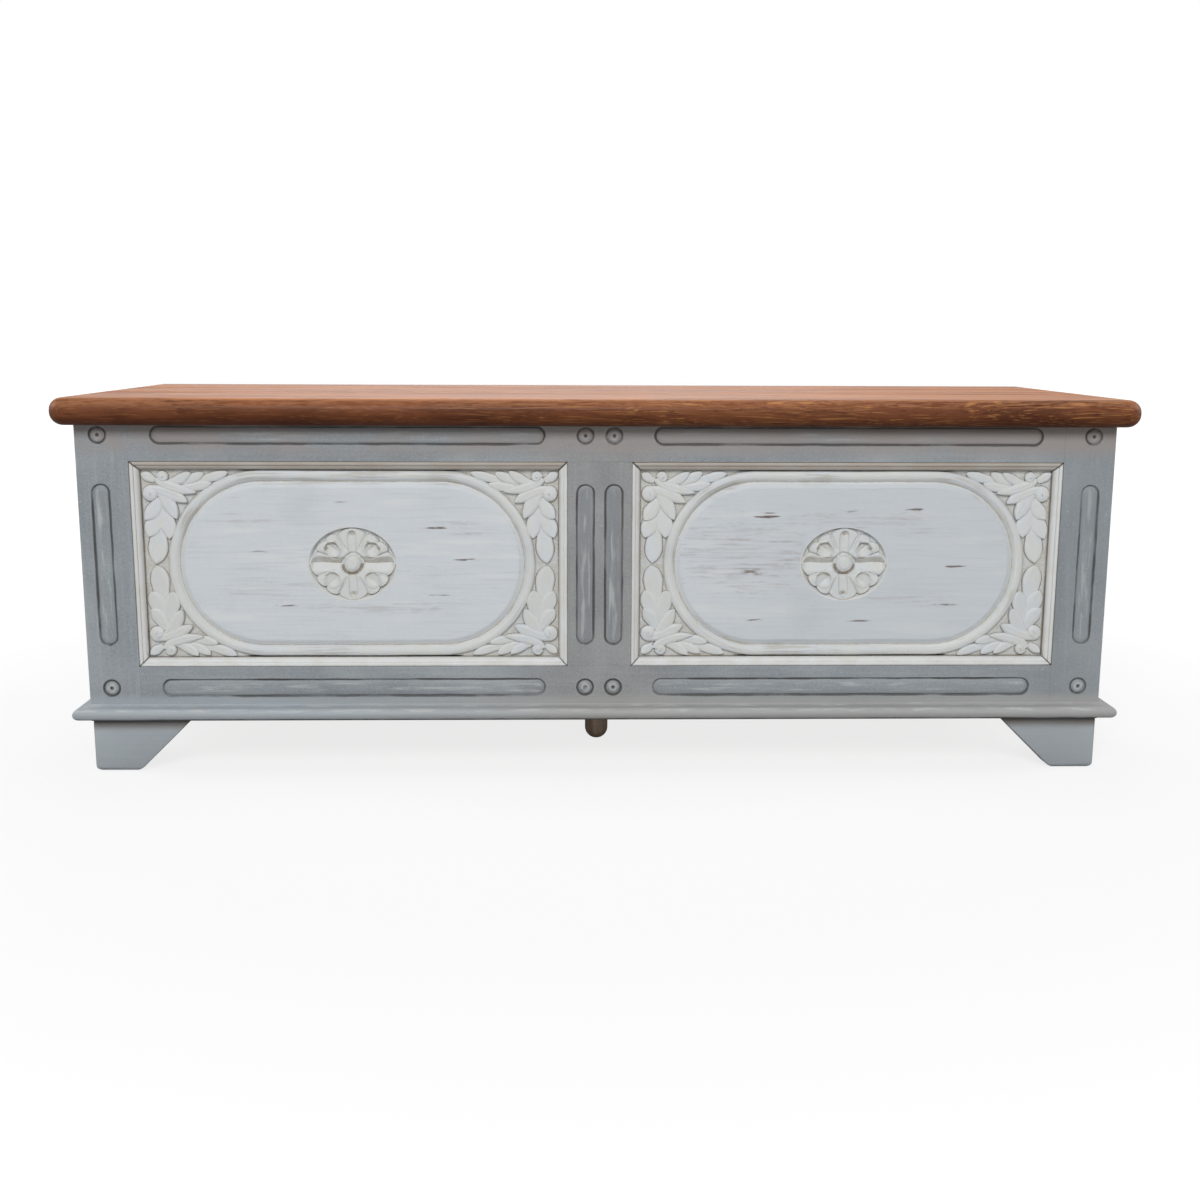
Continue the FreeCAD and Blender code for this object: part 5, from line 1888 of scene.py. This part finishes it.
def white_floor():
    """A pale floor that shows white to the camera and keeps the chest's shadow."""
    mesh = bpy.data.meshes.new("floor")
    corners = [(-floor_reach, -floor_reach, 0), (floor_reach, -floor_reach, 0), (floor_reach, floor_reach, 0),
               (-floor_reach, floor_reach, 0)]
    mesh.from_pydata(corners, [], [(0, 1, 2, 3)])
    material, graph, shader, place = new_material("floor_white")
    shader.inputs["Base Color"].default_value = (floor_grey, floor_grey, floor_grey, 1.0)
    shader.inputs["Roughness"].default_value = floor_roughness
    shader.inputs["Specular IOR Level"].default_value = 0.0
    glow = graph.node("ShaderNodeEmission", None, {"Strength": floor_glow})
    far = graph.ramp(graph.vector("LENGTH", place, output="Value"), shadow_reach / 3, shadow_reach)
    seen = graph.node("ShaderNodeLightPath", None, None, "Is Camera Ray")
    share = seen * (floor_glow_share + far * (1.0 - floor_glow_share))
    shown = graph.node("ShaderNodeMixShader", None, {0: share, 1: Link(graph, shader.outputs[0]), 2: glow})
    graph.feed(material.node_tree.nodes["Material Output"].inputs["Surface"], shown)
    mesh.materials.append(material)
    linked("floor", mesh)


def white_surroundings():
    """A world that looks white, and lights the chest softly."""
    world = bpy.data.worlds.new("studio")
    bpy.context.scene.world = world
    world.use_nodes = True
    graph = Graph(world.node_tree)
    path = graph.node("ShaderNodeLightPath", None, None, "Is Camera Ray")
    through = graph.math("MAXIMUM", path.out("Is Glossy Ray"), path.out("Is Transmission Ray"))
    seen = graph.math("MAXIMUM", path, through)
    background = world.node_tree.nodes["Background"]
    background.inputs["Color"].default_value = (1.0, 1.0, 1.0, 1.0)
    graph.feed(background.inputs["Strength"], ambient + seen * (1.0 - ambient))


def soft_lamp(name, place, width, height, power):
    lamp = bpy.data.lights.new(name, "AREA")
    lamp.shape = "RECTANGLE"
    lamp.size = width
    lamp.size_y = height
    lamp.energy = power
    made = linked(name, lamp)
    made.location = place
    made.rotation_mode = "QUATERNION"
    made.rotation_quaternion = (lamp_target - Vector(place)).to_track_quat("-Z", "Y")


def photo_camera():
    """A camera where the photograph was taken from."""
    data = bpy.data.cameras.new("camera")
    data.sensor_width = sensor_width
    data.sensor_fit = "HORIZONTAL"
    data.lens = sensor_width * focal_length / picture_side
    made = linked("camera", data)
    turn = Matrix.Rotation(camera_yaw, 3, "Z") @ Matrix.Rotation(camera_pitch, 3, "X")
    right, ahead, up = turn.col
    level_right = right * math.cos(camera_roll) + up * math.sin(camera_roll)
    level_up = up * math.cos(camera_roll) - right * math.sin(camera_roll)
    made.matrix_world = framed((level_right, level_up, -ahead), camera_place)
    bpy.context.scene.camera = made


white_floor()
white_surroundings()
for name, sizes in lamps.items():
    soft_lamp(name, *sizes)
photo_camera()
bpy.context.scene.view_settings.view_transform = "Standard"
